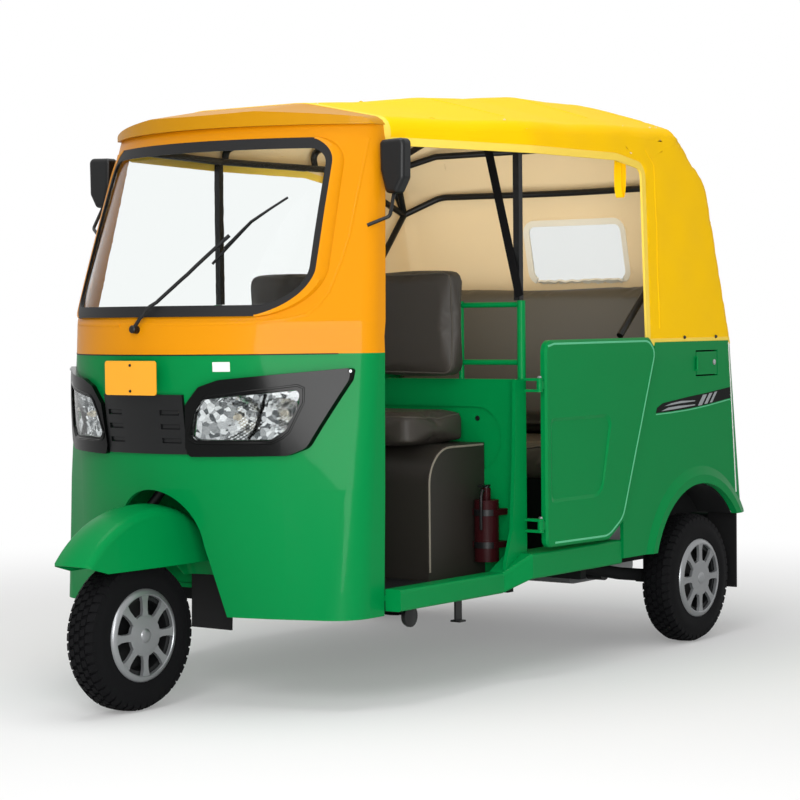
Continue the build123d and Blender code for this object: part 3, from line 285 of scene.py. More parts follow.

# %% [markdown]
# Many CAD pieces already have the right shape and only need their finish. A CAD node keeps its mesh, and
# the material goes into its slot.

# %% Finishes for the CAD pieces
node_finish = {
    "front_cowl": green_enamel, "rear_body": green_enamel, "door_left": green_enamel,
    "door_right": green_enamel, "fuel_flap": green_enamel, "engine_lid": green_enamel,
    "side_sills": green_enamel, "partition_panel": green_enamel, "partition_frame": green_enamel,
    "front_fender": green_enamel, "wheel_housing": green_enamel, "floor_pan": green_enamel,
    "windscreen_frame": orange_enamel, "roof_header": header_enamel, "front_plate": plate_amber,
    "canopy": canopy_canvas, "roof_frame": powder_black, "chassis_frame": underseal,
    "trailing_arms": underseal, "steering_fork": powder_black, "handlebar": powder_black,
    "wheel_arches": underseal, "rear_bumper": powder_black, "passenger_seat_base": powder_black,
    "steering_head": powder_black, "headlamp_bezels": gloss_black, "grille_band": moulded_black,
    "dashboard": moulded_black, "mirrors": moulded_black, "driver_seat_base": shaded_seat_box_vinyl,
    "windscreen_gasket": black_rubber, "rear_mudflaps": black_rubber, "fender_flap": black_rubber,
    "grips": black_rubber, "driver_cushion": seat_vinyl, "driver_backrest": seat_vinyl,
    "passenger_cushion": bench_vinyl, "passenger_backrest": bench_vinyl, "windscreen_glass": screen_glass,
    "headlamp_lenses": lens_glass, "rear_window": clear_vinyl, "headlamp_reflectors": lamp_chrome,
    "tail_lamps": moulded_black, "engine_block": cast_aluminium, "drive_shafts": powder_black,
    "front_shock": spring_steel, "rear_shocks": spring_steel, "fire_extinguisher": maroon_enamel,
    "front_tyre": tyre_rubber, "rear_left_tyre": tyre_rubber, "rear_right_tyre": tyre_rubber,
    "front_rim": wheel_silver, "rear_left_rim": wheel_silver, "rear_right_rim": wheel_silver,
}
for name, finish in node_finish.items():
    mesh = nodes[name].data
    mesh.materials.clear()
    mesh.materials.append(finish)
print("finished", len(node_finish), "of", len(nodes), "CAD pieces")

# %% [markdown]
# Most small pieces are one of four things: a profile turned round an axis, a section carried along a
# path, a plain list of corners, or two grids of points closed round their rim. Blender's Screw, Curve and
# Spin tools make some of these shapes, but writing the points keeps every size in sight. One more helper
# merges doubles, turns the faces outward and keeps sharp corners sharp, so no piece is finished without it.

# %% Turned, carried and closed shapes
def turned(profile, centre, axis, steps=48):
    """Points and faces of (along, radius) pairs in mm, turned round an axis through the centre."""
    axis = Vector(axis).normalized()
    side = axis.orthogonal().normalized()
    up = axis.cross(side)
    points = [centre + (axis * along + (side * math.cos(a) + up * math.sin(a)) * radius) / 1000
              for along, radius in profile for a in [2 * math.pi * k / steps for k in range(steps)]]
    faces = [(i * steps + k, i * steps + (k + 1) % steps, (i + 1) * steps + (k + 1) % steps,
              (i + 1) * steps + k) for i in range(len(profile) - 1) for k in range(steps)]
    return points, faces


def carried(path, section, normals=None, closed=False):
    """Points and faces of a section of (across, up) pairs in mm, carried along a path in metres."""
    count, ring = len(path), len(section)
    points, normal = [], None
    for i, point in enumerate(path):
        before = path[i - 1] if i or closed else point
        after = path[(i + 1) % count] if i + 1 < count or closed else point
        tangent = (after - before).normalized()
        if normals:
            normal = normals[i]
        elif normal is None:
            normal = tangent.orthogonal() if abs(tangent.z) > 0.9 else Vector((0, 0, 1))
        normal = (normal - tangent * normal.dot(tangent)).normalized()
        side = tangent.cross(normal)
        points += [point + (side * a + normal * b) / 1000 for a, b in section]
    last = count if closed else count - 1
    faces = [(i * ring + k, i * ring + (k + 1) % ring, (i + 1) % count * ring + (k + 1) % ring,
              (i + 1) % count * ring + k) for i in range(last) for k in range(ring)]
    if not closed:
        faces += [tuple(range(ring)), tuple(range((count - 1) * ring, count * ring))]
    return points, faces


def round_section(radius, sides=12):
    return [(radius * math.cos(2 * math.pi * k / sides), radius * math.sin(2 * math.pi * k / sides))
            for k in range(sides)]


def closed_piece(name, shapes, finish, body="chassis", sharp=35):
    """One object from (points, faces) shapes, its faces outward and its corners kept."""
    built = bmesh.new()
    for points, faces in shapes:
        corners = [built.verts.new(point) for point in points]
        for face in faces:
            if len(set(face)) == len(face):
                built.faces.new([corners[k] for k in face])
    bmesh.ops.remove_doubles(built, verts=built.verts, dist=2e-6)
    bmesh.ops.dissolve_degenerate(built, edges=built.edges, dist=1e-6)
    bmesh.ops.recalc_face_normals(built, faces=built.faces)
    for face in built.faces:
        face.smooth = True
    for edge in built.edges:
        edge.smooth = len(edge.link_faces) == 2 and edge.calc_face_angle(0) < math.radians(sharp)
    mesh = bpy.data.meshes.new(name)
    built.to_mesh(mesh)
    built.free()
    mesh.materials.append(finish)
    piece = bpy.data.objects.new(name, mesh)
    scene.collection.objects.link(piece)
    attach(piece, body)
    return piece


def slab(low, high):
    """Points and faces of a box between two corners in metres."""
    points = [Vector((x, y, z)) for x in (low[0], high[0]) for y in (low[1], high[1])
              for z in (low[2], high[2])]
    return points, [(0, 1, 3, 2), (4, 6, 7, 5), (0, 4, 5, 1), (2, 3, 7, 6), (0, 2, 6, 4), (1, 5, 7, 3)]


def prism(near, far):
    """Points and faces between two outlines with the same number of corners."""
    count = len(near)
    return near + far, [tuple(range(count)), tuple(range(count, 2 * count))] + [
        (k, (k + 1) % count, count + (k + 1) % count, count + k) for k in range(count)]


def closed_grid(front, back, count_u, count_v):
    """Points and faces of two grids of points, one behind the other, closed round their rim."""
    ring = count_u * count_v
    faces = []
    for i in range(count_v - 1):
        for j in range(count_u - 1):
            a = i * count_u + j
            faces += [(a, a + 1, a + count_u + 1, a + count_u),
                      (ring + a, ring + a + count_u, ring + a + count_u + 1, ring + a + 1)]
    rim = ([k for k in range(count_u)] + [i * count_u + count_u - 1 for i in range(1, count_v)]
           + [(count_v - 1) * count_u + k for k in range(count_u - 2, -1, -1)]
           + [i * count_u for i in range(count_v - 2, 0, -1)])
    faces += [(a, b, ring + b, ring + a) for a, b in zip(rim, rim[1:] + rim[:1])]
    return front + back, faces


def loose_mesh(name, shape, finish):
    """Only the mesh of one piece, for a tree to copy."""
    piece = closed_piece(name, [shape], finish)
    mesh = piece.data
    bpy.data.objects.remove(piece)
    return mesh


def between(marks, steps=0, pitch=0):
    """Even steps from each mark to the next, so many or about so far apart. The last mark is left off."""
    spots = []
    for start, stop in zip(marks, marks[1:]):
        count = steps or max(1, round(math.dist(start, stop) / pitch))
        spots += [[a + (b - a) * k / count for a, b in zip(start, stop)] for k in range(count)]
    return spots


def surface_of(*names):
    """Search tree of finished pieces, to set other pieces on them."""
    points, faces = [], []
    for name in names:
        mesh = nodes[name].data if name in nodes else bpy.data.objects[name].data
        start = len(points)
        points += [v.co.copy() for v in mesh.vertices]
        faces += [tuple(start + k for k in p.vertices) for p in mesh.polygons]
    return BVHTree.FromPolygons(points, faces)


def landed(tree, start, direction, lift=0.0):
    """Where a ray from start meets a surface, lifted this many mm off it, and the normal there."""
    hit, normal, _, _ = tree.ray_cast(start, Vector(direction))
    if hit is None:
        hit, normal, _, _ = tree.find_nearest(start)
    if normal.dot(Vector(direction)) > 0:
        normal = -normal
    return hit + normal * lift / 1000, normal


def cast_path(tree, starts, direction, lift=0.0):
    """Where rays from these starts land, as a path and the normals along it."""
    landings = [landed(tree, start, direction, lift) for start in starts]
    return [point for point, _ in landings], [normal for _, normal in landings]


print("helpers ready")

# %% [markdown]
# Tread blocks, wheel nuts and slots repeat round an axle. A Geometry Nodes tree turns copies of one small
# shape round the X axis: the copies start at the hub, each is turned by its share of a circle, and
# Realize Instances makes them real faces. It could be a loop in Python, but a tree keeps count and
# turn as inputs that can be tried by hand.

# %% Geometry Nodes: copies round an axle
def group_of(name, inputs):
    """An empty Geometry Nodes group with its named inputs. Returns it and its input node."""
    tree = bpy.data.node_groups.new(name, "GeometryNodeTree")
    tree.interface.new_socket("Geometry", in_out="INPUT", socket_type="NodeSocketGeometry")
    for label, kind in inputs:
        tree.interface.new_socket(label, in_out="INPUT", socket_type=kind)
    tree.interface.new_socket("Geometry", in_out="OUTPUT", socket_type="NodeSocketGeometry")
    return tree, tree.nodes.new("NodeGroupInput")


def ended(tree, instances, finish_socket):
    """The end of every tree: real faces with their finish."""
    real = add_node(tree, "GeometryNodeRealizeInstances", inputs={"Geometry": instances})
    done = add_node(tree, "GeometryNodeSetMaterial", inputs={"Geometry": real.outputs[0],
                                                             "Material": finish_socket})
    tree.links.new(done.outputs[0], tree.nodes.new("NodeGroupOutput").inputs[0])
    return tree


def grown(name, tree, base, values, body="chassis"):
    """Runs a tree on a base mesh with its inputs set, and keeps the result as a plain mesh."""
    holder = bpy.data.objects.new(name, base)
    scene.collection.objects.link(holder)
    modifier = holder.modifiers.new("grow", "NODES")
    modifier.node_group = tree
    for item in tree.interface.items_tree:
        if item.in_out == "INPUT" and item.name in values:
            modifier[item.identifier] = values[item.name]
    result = bpy.data.meshes.new_from_object(holder.evaluated_get(bpy.context.evaluated_depsgraph_get()))
    holder.modifiers.remove(modifier)
    holder.data = result
    result.name = name
    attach(holder, body)
    return holder


ring_tree, ring_in = group_of("copies_round_an_axle", [
    ("Count", "NodeSocketInt"), ("Turn", "NodeSocketFloat"), ("Hub", "NodeSocketVector"),
    ("Finish", "NodeSocketMaterial")])
ring_points = add_node(ring_tree, "GeometryNodePoints", inputs={"Count": ring_in.outputs["Count"]})
ring_index = add_node(ring_tree, "GeometryNodeInputIndex")
ring_share = add_node(ring_tree, "ShaderNodeMath", {"operation": "DIVIDE"},
                      {0: ring_index.outputs[0], 1: ring_in.outputs["Count"]})
ring_angle = add_node(ring_tree, "ShaderNodeMath", {"operation": "MULTIPLY_ADD"},
                      {0: ring_share.outputs[0], 1: 2 * math.pi, 2: ring_in.outputs["Turn"]})
ring_turn = add_node(ring_tree, "ShaderNodeCombineXYZ", inputs={"X": ring_angle.outputs[0]})
ring_copies = add_node(ring_tree, "GeometryNodeInstanceOnPoints",
                       inputs={"Points": ring_points.outputs[0], "Instance": ring_in.outputs["Geometry"],
                               "Rotation": ring_turn.outputs[0]})
ring_placed = add_node(ring_tree, "GeometryNodeTranslateInstances", None,
                       {"Instances": ring_copies.outputs[0], "Translation": ring_in.outputs["Hub"],
                        "Local Space": False})
ended(ring_tree, ring_placed.outputs[0], ring_in.outputs["Finish"])
print("tree", ring_tree.name, "nodes", len(ring_tree.nodes))

# %% [markdown]
# Screws, rivets and press studs sit wherever panels meet, each looking along its own surface's normal. Here
# the tree gets a mesh of points that carries a "facing" attribute, and puts a low flat-topped cone with
# few faces on each.

# %% Geometry Nodes: fasteners on a surface
stud_tree, stud_in = group_of("fasteners_on_a_surface", [("Radius", "NodeSocketFloat"),
                                                         ("Height", "NodeSocketFloat"),
                                                         ("Sides", "NodeSocketInt"),
                                                         ("Finish", "NodeSocketMaterial")])
stud_base = add_node(stud_tree, "GeometryNodeMeshCone",
                     inputs={"Vertices": stud_in.outputs["Sides"], "Radius Bottom": stud_in.outputs["Radius"],
                             "Depth": stud_in.outputs["Height"]})
top_share = 0.72  # a head's top radius over its foot's
stud_small = add_node(stud_tree, "ShaderNodeMath", {"operation": "MULTIPLY"},
                      {0: stud_in.outputs["Radius"], 1: top_share})
stud_tree.links.new(stud_small.outputs[0], stud_base.inputs["Radius Top"])
stud_facing = add_node(stud_tree, "GeometryNodeInputNamedAttribute", {"data_type": "FLOAT_VECTOR"},
                       {"Name": "facing"})
stud_turn = add_node(stud_tree, "FunctionNodeAlignRotationToVector", {"axis": "Z"},
                     {"Vector": stud_facing.outputs[0]})
stud_copies = add_node(stud_tree, "GeometryNodeInstanceOnPoints",
                       inputs={"Points": stud_in.outputs["Geometry"], "Instance": stud_base.outputs[0],
                               "Rotation": stud_turn.outputs[0]})
ended(stud_tree, stud_copies.outputs[0], stud_in.outputs["Finish"])


def fasteners(name, spots, radius, height, finish, body="chassis", sides=10):
    """Flat-topped heads at (point, normal) spots. Radius and height are in mm."""
    points = bpy.data.meshes.new(name)
    points.from_pydata([tuple(point) for point, _ in spots], [], [])
    facing = points.attributes.new("facing", "FLOAT_VECTOR", "POINT")
    facing.data.foreach_set("vector", [c for _, normal in spots for c in normal])
    return grown(name, stud_tree, points, {"Radius": radius / 1000, "Height": height / 1000, "Sides": sides,
                                           "Finish": finish}, body)


print("tree", stud_tree.name)

# %% [markdown]
# A cross-ply tyre is one closed skin of rubber: thick flat tread, round shoulders and walls that
# bulge beyond the rim. Its profile is turned in one go. The blocks stand about 6 mm proud, in a centre
# row, two middle rows and two shoulder rows that lean over the edge. The middle rows are staggered against
# the others, as on a real tyre, so that it rolls quietly.

# %% Tyres
tyre_wall = [(38, 110.3), (42.5, 114), (46, 124), (48, 126), (49.5, 132), (52, 150), (52.6, 158), (51, 172),
             (47.5, 184), (47.6, 186), (44, 193), (36, 198), (20, 201), (0, 201.8)]
tyre_profile = tyre_wall + [(-x, r) for x, r in reversed(tyre_wall[:-1])] + [tyre_wall[0]]
# columns: x from, x to, block's half length, radius of its top at each side, turn, skew along the tread
tread_rows = [
    (-8, 8, 10, 207.3, 207.3, 0.0, 3),
    (11, 26, 9, 207.0, 206.0, 0.5, 4),
    (-26, -11, 9, 206.0, 207.0, 0.5, 4),
    (29, 47, 10, 205.6, 195.5, 0.0, 5),
    (-47, -29, 10, 195.5, 205.6, 0.0, 5),
]
block_count = 46


def tread_block(x_from, x_to, half, top_from, top_to, skew):
    """Mesh of one block at the top of a wheel whose hub is at the origin."""
    corners = []
    for depth, shrink in ((14, -1.5), (0, 0)):
        for x, top, side in ((x_from, top_from, -1), (x_to, top_to, 1)):
            for end in (-1, 1):
                corners.append(((x - side * shrink) / 1000, (end * (half - shrink) + side * skew / 2) / 1000,
                                (top - depth) / 1000))
    mesh = bpy.data.meshes.new("tread_block")
    mesh.from_pydata(corners, [], [(0, 1, 3, 2), (4, 6, 7, 5), (0, 4, 5, 1), (2, 3, 7, 6), (0, 2, 6, 4),
                                   (1, 5, 7, 3)])
    built = bmesh.new()
    built.from_mesh(mesh)
    bmesh.ops.recalc_face_normals(built, faces=built.faces)
    built.to_mesh(mesh)
    built.free()
    return mesh


wheels = [("front", front_hub, "front_wheel", 1), ("rear_left", rear_hubs["left"], "rear_wheel_left", 1),
          ("rear_right", rear_hubs["right"], "rear_wheel_right", -1)]
for name, hub, body, _ in wheels:
    skin = closed_piece(f"{name}_tyre_skin", [turned(tyre_profile, hub, (1, 0, 0), 96)], tyre_rubber, body,
                        60)
    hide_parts(f"{name}_tyre")
    for number, (x_from, x_to, half, top_from, top_to, turn, skew) in enumerate(tread_rows):
        block = tread_block(x_from, x_to, half, top_from, top_to, skew)
        grown(f"{name}_tread_row_{number}", ring_tree, block,
              {"Count": block_count, "Turn": turn * 2 * math.pi / block_count, "Hub": hub,
               "Finish": tyre_rubber}, body)
print("tread blocks", 3 * len(tread_rows) * block_count)

# %% [markdown]
# Each wheel wears a silver cover of pressed steel: a dished centre, eight broad openings between flat
# spokes, and a rolled outer ring, with a domed cap over the axle nut. A plain dished barrel stands behind
# it in black: rim paint, made dark enough to be painted shade as well, so that the openings read dark.
# Spokes repeat, so the same ring tree places them.

# %% Wheel covers
# profiles: (out from the wheel's middle, radius)
cover_ring = [(46, 108.5), (56, 109.3), (58, 111.5), (57.5, 116), (55, 121), (52, 125.5), (47, 127.5),
              (46, 124), (49, 118), (50, 113), (46, 108.5)]
cover_centre = [(50, 0), (57.2, 0), (57.2, 30), (56, 40), (56.5, 52), (55.5, 57), (46, 58), (46, 55), (50, 50),
                (50, 0)]
hub_cap = [(54, 0), (62.4, 0), (62.2, 9), (60.8, 15), (58, 19), (54, 21), (54, 0)]
spoke_outline = [(-12, 54), (12, 54), (9, 68), (9.5, 92), (15, 111), (-15, 111), (-9.5, 92), (-9, 68)]
# Black rim paint, also painted shade for the inside of the wheel behind the cover's openings.
rim_black_with_painted_shade = grained("black_rim_paint_with_painted_shade", "#111213", 0.5, 2.0, 0.05, Specular_IOR_Level=0.3)
barrel_profile = [(-44, 109.5), (-44, 98), (-8, 96), (-8, 11.4), (-1, 11.4), (-1, 94), (44, 97), (44, 109.5),
                  (-44, 109.5)]
spoke_count, spoke_front, spoke_back, foot_spread = 8, 56.2, 47.5, 1.15
for name, hub, body, face in wheels:
    shapes = []
    for profile in (cover_ring, cover_centre, hub_cap):
        points, faces = turned([(face * along, radius) for along, radius in profile], hub, (1, 0, 0), 64)
        shapes.append((points, faces))
    closed_piece(f"{name}_wheel_cover", shapes, wheel_silver, body, 40)
    front = [Vector((face * spoke_front, across, radius)) / 1000 for across, radius in spoke_outline]
    back = [Vector((face * spoke_back, across * foot_spread, radius)) / 1000
            for across, radius in spoke_outline]
    grown(f"{name}_cover_spokes", ring_tree, loose_mesh("spoke_pattern", prism(front, back), wheel_silver),
          {"Count": spoke_count, "Turn": 0.0, "Hub": hub, "Finish": wheel_silver}, body)
    barrel_turned = turned([(face * along, radius) for along, radius in barrel_profile], hub, (1, 0, 0), 64)
    barrel = closed_piece(f"{name}_wheel_barrel", [barrel_turned], rim_black_with_painted_shade, body)
    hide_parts(f"{name}_rim")
print("covers", len(wheels))

# %% [markdown]
# The hood is one piece of coated canvas stretched over tube bows, with a tan drill lining stitched inside and
# a woven tape bound round every edge. The CAD solid shows where it runs, so its outer skin is taken as the
# pattern: the faces on a thin wall that look away from the cab's middle, cut until no edge is longer than
# 32 mm. A cloth simulation was the other way, but a hood that is stretched tight barely moves in one.

# %% Canopy: the outer skin
pattern = bmesh.new()
pattern.from_mesh(nodes["canopy"].data)
bmesh.ops.remove_doubles(pattern, verts=pattern.verts, dist=2e-5)
bmesh.ops.recalc_face_normals(pattern, faces=pattern.faces)
pattern_tree = BVHTree.FromBMesh(pattern)
thinnest_wall, thickest_wall, least_outward, longest_edge = 0.0022, 0.06, 0.35, 0.032
inner_side = []
for face in pattern.faces:
    middle = face.calc_center_median()
    hit = pattern_tree.ray_cast(middle - face.normal * 1e-4, -face.normal)
    thin = hit[0] is not None and thinnest_wall < hit[3] < thickest_wall
    outward = face.normal.dot((middle - Vector((0, min(max(middle.y, -0.4), 0.9), 1.0))).normalized())
    if not (thin and outward > least_outward):
        inner_side.append(face)
bmesh.ops.delete(pattern, geom=inner_side, context="FACES")
bmesh.ops.holes_fill(pattern, edges=[edge for edge in pattern.edges if edge.is_boundary], sides=10)
bmesh.ops.triangulate(pattern, faces=[face for face in pattern.faces if len(face.verts) > 3])
for _ in range(7):
    long_edges = [edge for edge in pattern.edges if edge.calc_length() > longest_edge]
    if not long_edges:
        break
    bmesh.ops.subdivide_edges(pattern, edges=long_edges, cuts=1)
    bmesh.ops.triangulate(pattern, faces=[f for f in pattern.faces if len(f.verts) > 3])
print("skin faces", len(pattern.faces), "edges too long",
      sum(1 for edge in pattern.edges if edge.calc_length() > longest_edge))

# %% [markdown]
# Canvas rolls over a bow instead of folding, and it slackens a little between two bows. Each round of
# easing moves every point towards its neighbours' middle and then back by slightly more, which rounds
# bends off without shrinking the hood. Points still at a sharp fold are then smoothed alone. The sag is
# deepest midway between bows, and a faint waviness of about a millimetre and a half shows on the sides. A
# Smooth modifier would round the bends too, but it draws the whole hood inwards.

# %% Canopy: eased bends and slack cloth
def eased(built, rounds):
    """Rounds off sharp bends without shrinking: each round pulls in a little and pushes back."""
    built.verts.ensure_lookup_table()
    built.verts.index_update()
    points = np.array([v.co for v in built.verts])
    pairs = np.array([[v.index for v in edge.verts] for edge in built.edges])
    held = np.array([v.is_boundary for v in built.verts])
    share = np.bincount(pairs.ravel(), minlength=len(points))[:, None]
    for _ in range(rounds):
        for weight in (0.5, -0.52):
            total = np.zeros_like(points)
            np.add.at(total, pairs[:, 0], points[pairs[:, 1]])
            np.add.at(total, pairs[:, 1], points[pairs[:, 0]])
            step = total / share - points
            step[held] = 0
            points += weight * step
    for vertex, point in zip(built.verts, points):
        vertex.co = point


eased(pattern, 14)
pattern.normal_update()
fold_limit = 0.6  # faces whose normals agree less than this meet at a fold
for _ in range(6):
    folded = {vertex for edge in pattern.edges if len(edge.link_faces) == 2
              and edge.link_faces[0].normal.dot(edge.link_faces[1].normal) < fold_limit
              for face in edge.link_faces for vertex in face.verts if not vertex.is_boundary}
    bmesh.ops.smooth_vert(pattern, verts=sorted(folded, key=lambda vertex: vertex.index), factor=0.7,
                          use_axis_x=True, use_axis_y=True, use_axis_z=True)
    pattern.normal_update()
print("points at a fold before the last round", len(folded), "open edges",
      sum(1 for edge in pattern.edges if edge.is_boundary))
bow_places, half_bay, sag_depth, wave_height = [1450, 900, 437, 100, -130], 230, 4.0, 1.6
for vertex in pattern.verts:
    if vertex.is_boundary:
        continue
    ahead_mm = (REAR_AXLE_Y / 1000 - vertex.co.y) * 1000
    gap = min(abs(ahead_mm - bow) for bow in bow_places) / half_bay
    sag = -sag_depth * min(1, gap) ** 2 * max(0, vertex.normal.z)
    x, y, z = vertex.co
    wave = wave_height * math.sin(z * 23 + x * 9) * math.sin(y * 31 + z * 7)
    pull = wave * max(0, 1 - abs(vertex.normal.z) * 1.4) * min(1, max(0, (z - 1.0) * 6))
    vertex.co += vertex.normal * (sag + pull) / 1000
skin_area = sum(face.calc_area() for face in pattern.faces)
pattern.edges.index_update()
rim_edges = {edge for edge in pattern.edges if edge.is_boundary}
rims = []
while rim_edges:
    edge = min(rim_edges, key=lambda candidate: candidate.index)
    rim_edges.discard(edge)
    chain = [edge.verts[0], edge.verts[1]]
    while chain[-1] is not chain[0]:
        onward = [e for e in chain[-1].link_edges if e in rim_edges]
        if not onward:
            break
        rim_edges.discard(onward[0])
        chain.append(onward[0].other_vert(chain[-1]))
    rims.append([(v.co.copy(), v.normal.copy()) for v in chain[:-1]])
rims = sorted((rim for rim in rims if len(rim) > 20), key=len, reverse=True)
print("skin area", round(skin_area, 2), "m2, rims", [len(rim) for rim in rims])

# %% [markdown]
# The hood is two layers: canvas outside and lining inside. A Solidify modifier grows the second layer
# inwards and gives it its own material and the cut edge a third, which keeps both layers on one mesh.

# %% Canopy: thickness and lining
hood_thickness = 4.2
hood_mesh = bpy.data.meshes.new("canopy_sheet")
for face in pattern.faces:
    face.smooth = True
pattern.to_mesh(hood_mesh)
pattern.free()
for finish in (canopy_canvas, lining_drill, binding_tape):
    hood_mesh.materials.append(finish)
hood = bpy.data.objects.new("canopy_sheet", hood_mesh)
scene.collection.objects.link(hood)
layer = hood.modifiers.new("two_layers", "SOLIDIFY")
layer.thickness, layer.offset, layer.use_rim = hood_thickness / 1000, -1, True
layer.material_offset, layer.material_offset_rim = 1, 2
hood_solid = bpy.data.meshes.new_from_object(hood.evaluated_get(bpy.context.evaluated_depsgraph_get()))
hood.modifiers.clear()
hood.data = hood_solid
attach(hood, "chassis")
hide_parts("canopy")
print("canopy faces", len(hood_solid.polygons))


# %% [markdown]
# Tape is folded over every cut edge: light yellow round the hem, cream round the rear window. A flat
# section is carried round each rim. The rim's own points are uneven, so they are first laid out again at
# one distance.

# %% Canopy: bound edges
def even(path, step, closed=True):
    """The same path with its points about this many mm apart."""
    points = [point for point, _ in path] + ([path[0][0]] if closed else [])
    normals = [normal for _, normal in path] + ([path[0][1]] if closed else [])
    lengths = np.concatenate([[0], np.cumsum([(b - a).length for a, b in zip(points, points[1:])])])
    count = max(3, round(lengths[-1] * 1000 / step))
    marks = np.linspace(0, lengths[-1], count, endpoint=not closed)
    table = [np.interp(marks, lengths, [p[k] for p in points]) for k in range(3)]
    tilt = [np.interp(marks, lengths, [n[k] for n in normals]) for k in range(3)]
    return ([Vector(p) for p in zip(*table)], [Vector(n).normalized() for n in zip(*tilt)])


tape_section = [(-11, -6.5), (11, -6.5), (12, -2), (11, 1.0), (-11, 1.0), (-12, -2)]
for number, rim in enumerate(rims):
    path, tilt = even(rim, 14)
    tape = closed_piece(f"canopy_binding_{number}", [carried(path, tape_section, tilt, closed=True)],
                        binding_tape if number == 0 else window_tape)

# %% [markdown]
# The four cushions are foam in a tight vinyl cover, so they bulge between their seams. Cloth with a little
# air pressure inside finds that bulge by itself: the CAD block is shrunk a few millimetres, remeshed into even
# squares, blown up for 20 frames with gravity off, and no point may move further than a set cap. A
# crown drawn by hand would also do, but its sides wouldn't pull in between the corners.

# %% Cushions blown up as cloth
def plump(node, voxel, shrink, cap):
    """A padded piece grown from a CAD block. Sizes in mm."""
    built = bmesh.new()
    built.from_mesh(nodes[node].data)
    bmesh.ops.remove_doubles(built, verts=built.verts, dist=2e-5)
    low, high = [Vector(corner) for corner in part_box(node)]
    middle, size = (low + high) / 2, high - low
    for vertex in built.verts:
        for k in range(3):
            vertex.co[k] = middle[k] + (vertex.co[k] - middle[k]) * (1 - 2 * shrink / 1000 / size[k])
    mesh = bpy.data.meshes.new(f"{node}_padding")
    built.to_mesh(mesh)
    built.free()
    pad = bpy.data.objects.new(f"{node}_padding", mesh)
    scene.collection.objects.link(pad)
    grid = pad.modifiers.new("even_squares", "REMESH")
    grid.mode, grid.voxel_size = "VOXEL", voxel / 1000
    pad.data = bpy.data.meshes.new_from_object(pad.evaluated_get(bpy.context.evaluated_depsgraph_get()))
    pad.modifiers.clear()
    start = np.array([v.co for v in pad.data.vertices])
    scene.frame_set(1)
    cloth = pad.modifiers.new("air", "CLOTH")
    cloth.settings.use_pressure, cloth.settings.uniform_pressure_force = True, 1.0
    cloth.settings.tension_stiffness = cloth.settings.compression_stiffness = 40
    cloth.settings.effector_weights.gravity = 0
    cloth.settings.quality = 4
    for number in range(1, 21):
        scene.frame_set(number)
    blown = pad.evaluated_get(bpy.context.evaluated_depsgraph_get())
    moved = np.array([v.co for v in blown.data.vertices])
    pad.modifiers.clear()
    scene.frame_set(1)
    step = moved - start
    length = np.linalg.norm(step, axis=1, keepdims=True)
    moved = start + step * np.minimum(1, cap / 1000 / np.maximum(length, 1e-9))
    moved = np.clip(moved, np.array(low) - 0.0005, np.array(high) + 0.0005)
    pad.data.vertices.foreach_set("co", moved.ravel())
    smoother = pad.modifiers.new("softer", "SUBSURF")
    smoother.levels = smoother.render_levels = 1
    pad.data = bpy.data.meshes.new_from_object(pad.evaluated_get(bpy.context.evaluated_depsgraph_get()))
    pad.modifiers.clear()
    for polygon in pad.data.polygons:
        polygon.use_smooth = True
    pad.data.materials.clear()
    pad.data.materials.append(node_finish[node])
    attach(pad, "chassis")
    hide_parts(node)
    print(node, "faces", len(pad.data.polygons), "moved up to", round(float(length.max()) * 1000, 1), "mm")
    return pad


pads = {node: plump(node, *sizes) for node, sizes in {
    "driver_cushion": (8, 8, 16), "driver_backrest": (8, 7, 14),
    "passenger_cushion": (12, 9, 18), "passenger_backrest": (12, 9, 18)}.items()}

# %% [markdown]
# A headlamp is a clear cover over a vacuum-chromed reflector with two bowls side by side: dipped beam near
# the grille, indicator outboard, with a rib between them. Bowls are pressed with flat facets that break the
# light up. The reflector is made as one grid across the lens's outline, pushed back where the bowls are, and
# left flat shaded so that every square is a facet.

# %% Headlamp reflectors
lens_tree = surface_of("headlamp_lenses")
samples = [(x, z) for x in range(185, 400, 18) for z in range(755, 840, 14)]
found = [(x, z, lens_tree.ray_cast(from_ahead(x, z), REARWARD)[0]) for x, z in samples]
lens_rear = -0.83  # rays that pass the lens land behind this
found = [(x, z, hit.y * 1000) for x, z, hit in found if hit is not None and hit.y < lens_rear]
table = np.array([[1, x, z, x * x, x * z, z * z] for x, z, _ in found])
lens_fit = np.linalg.lstsq(table, np.array([y for _, _, y in found]), rcond=None)[0]
lamp_corners = [(168, 737), (379, 737), (425, 869), (190, 843)]
bowls = [(272, 797, 66), (378, 806, 44)]
rows, columns = 26, 44


def lamp_point(u, v, side):
    """Reflector point: u across from the grille, v up. Sizes in mm."""
    low = [lamp_corners[0][k] * (1 - u) + lamp_corners[1][k] * u for k in (0, 1)]
    high = [lamp_corners[3][k] * (1 - u) + lamp_corners[2][k] * u for k in (0, 1)]
    x, z = [low[k] * (1 - v) + high[k] * v for k in (0, 1)]
    y = float(np.dot(lens_fit, [1, x, z, x * x, x * z, z * z]))
    depth = 8.0
    for bowl_x, bowl_z, radius in bowls:
        off = math.hypot((x - bowl_x) * 0.93, z - bowl_z) / radius
        if off < 1:
            depth = max(depth, 8 + 34 * (1 - off * off))
    step = 1.4 * ((int(u * columns) * 7 + int(v * rows) * 5) % 3)
    return Vector((side * x, y + depth + (step if depth > 8 else 0), z)) / 1000


def wall_back(points, count_u, count_v, thickness):
    """Closes a grid of points with a copy this far behind it along y."""
    behind = [point + Vector((0, thickness / 1000, 0)) for point in points]
    return closed_grid(points, behind, count_u, count_v)


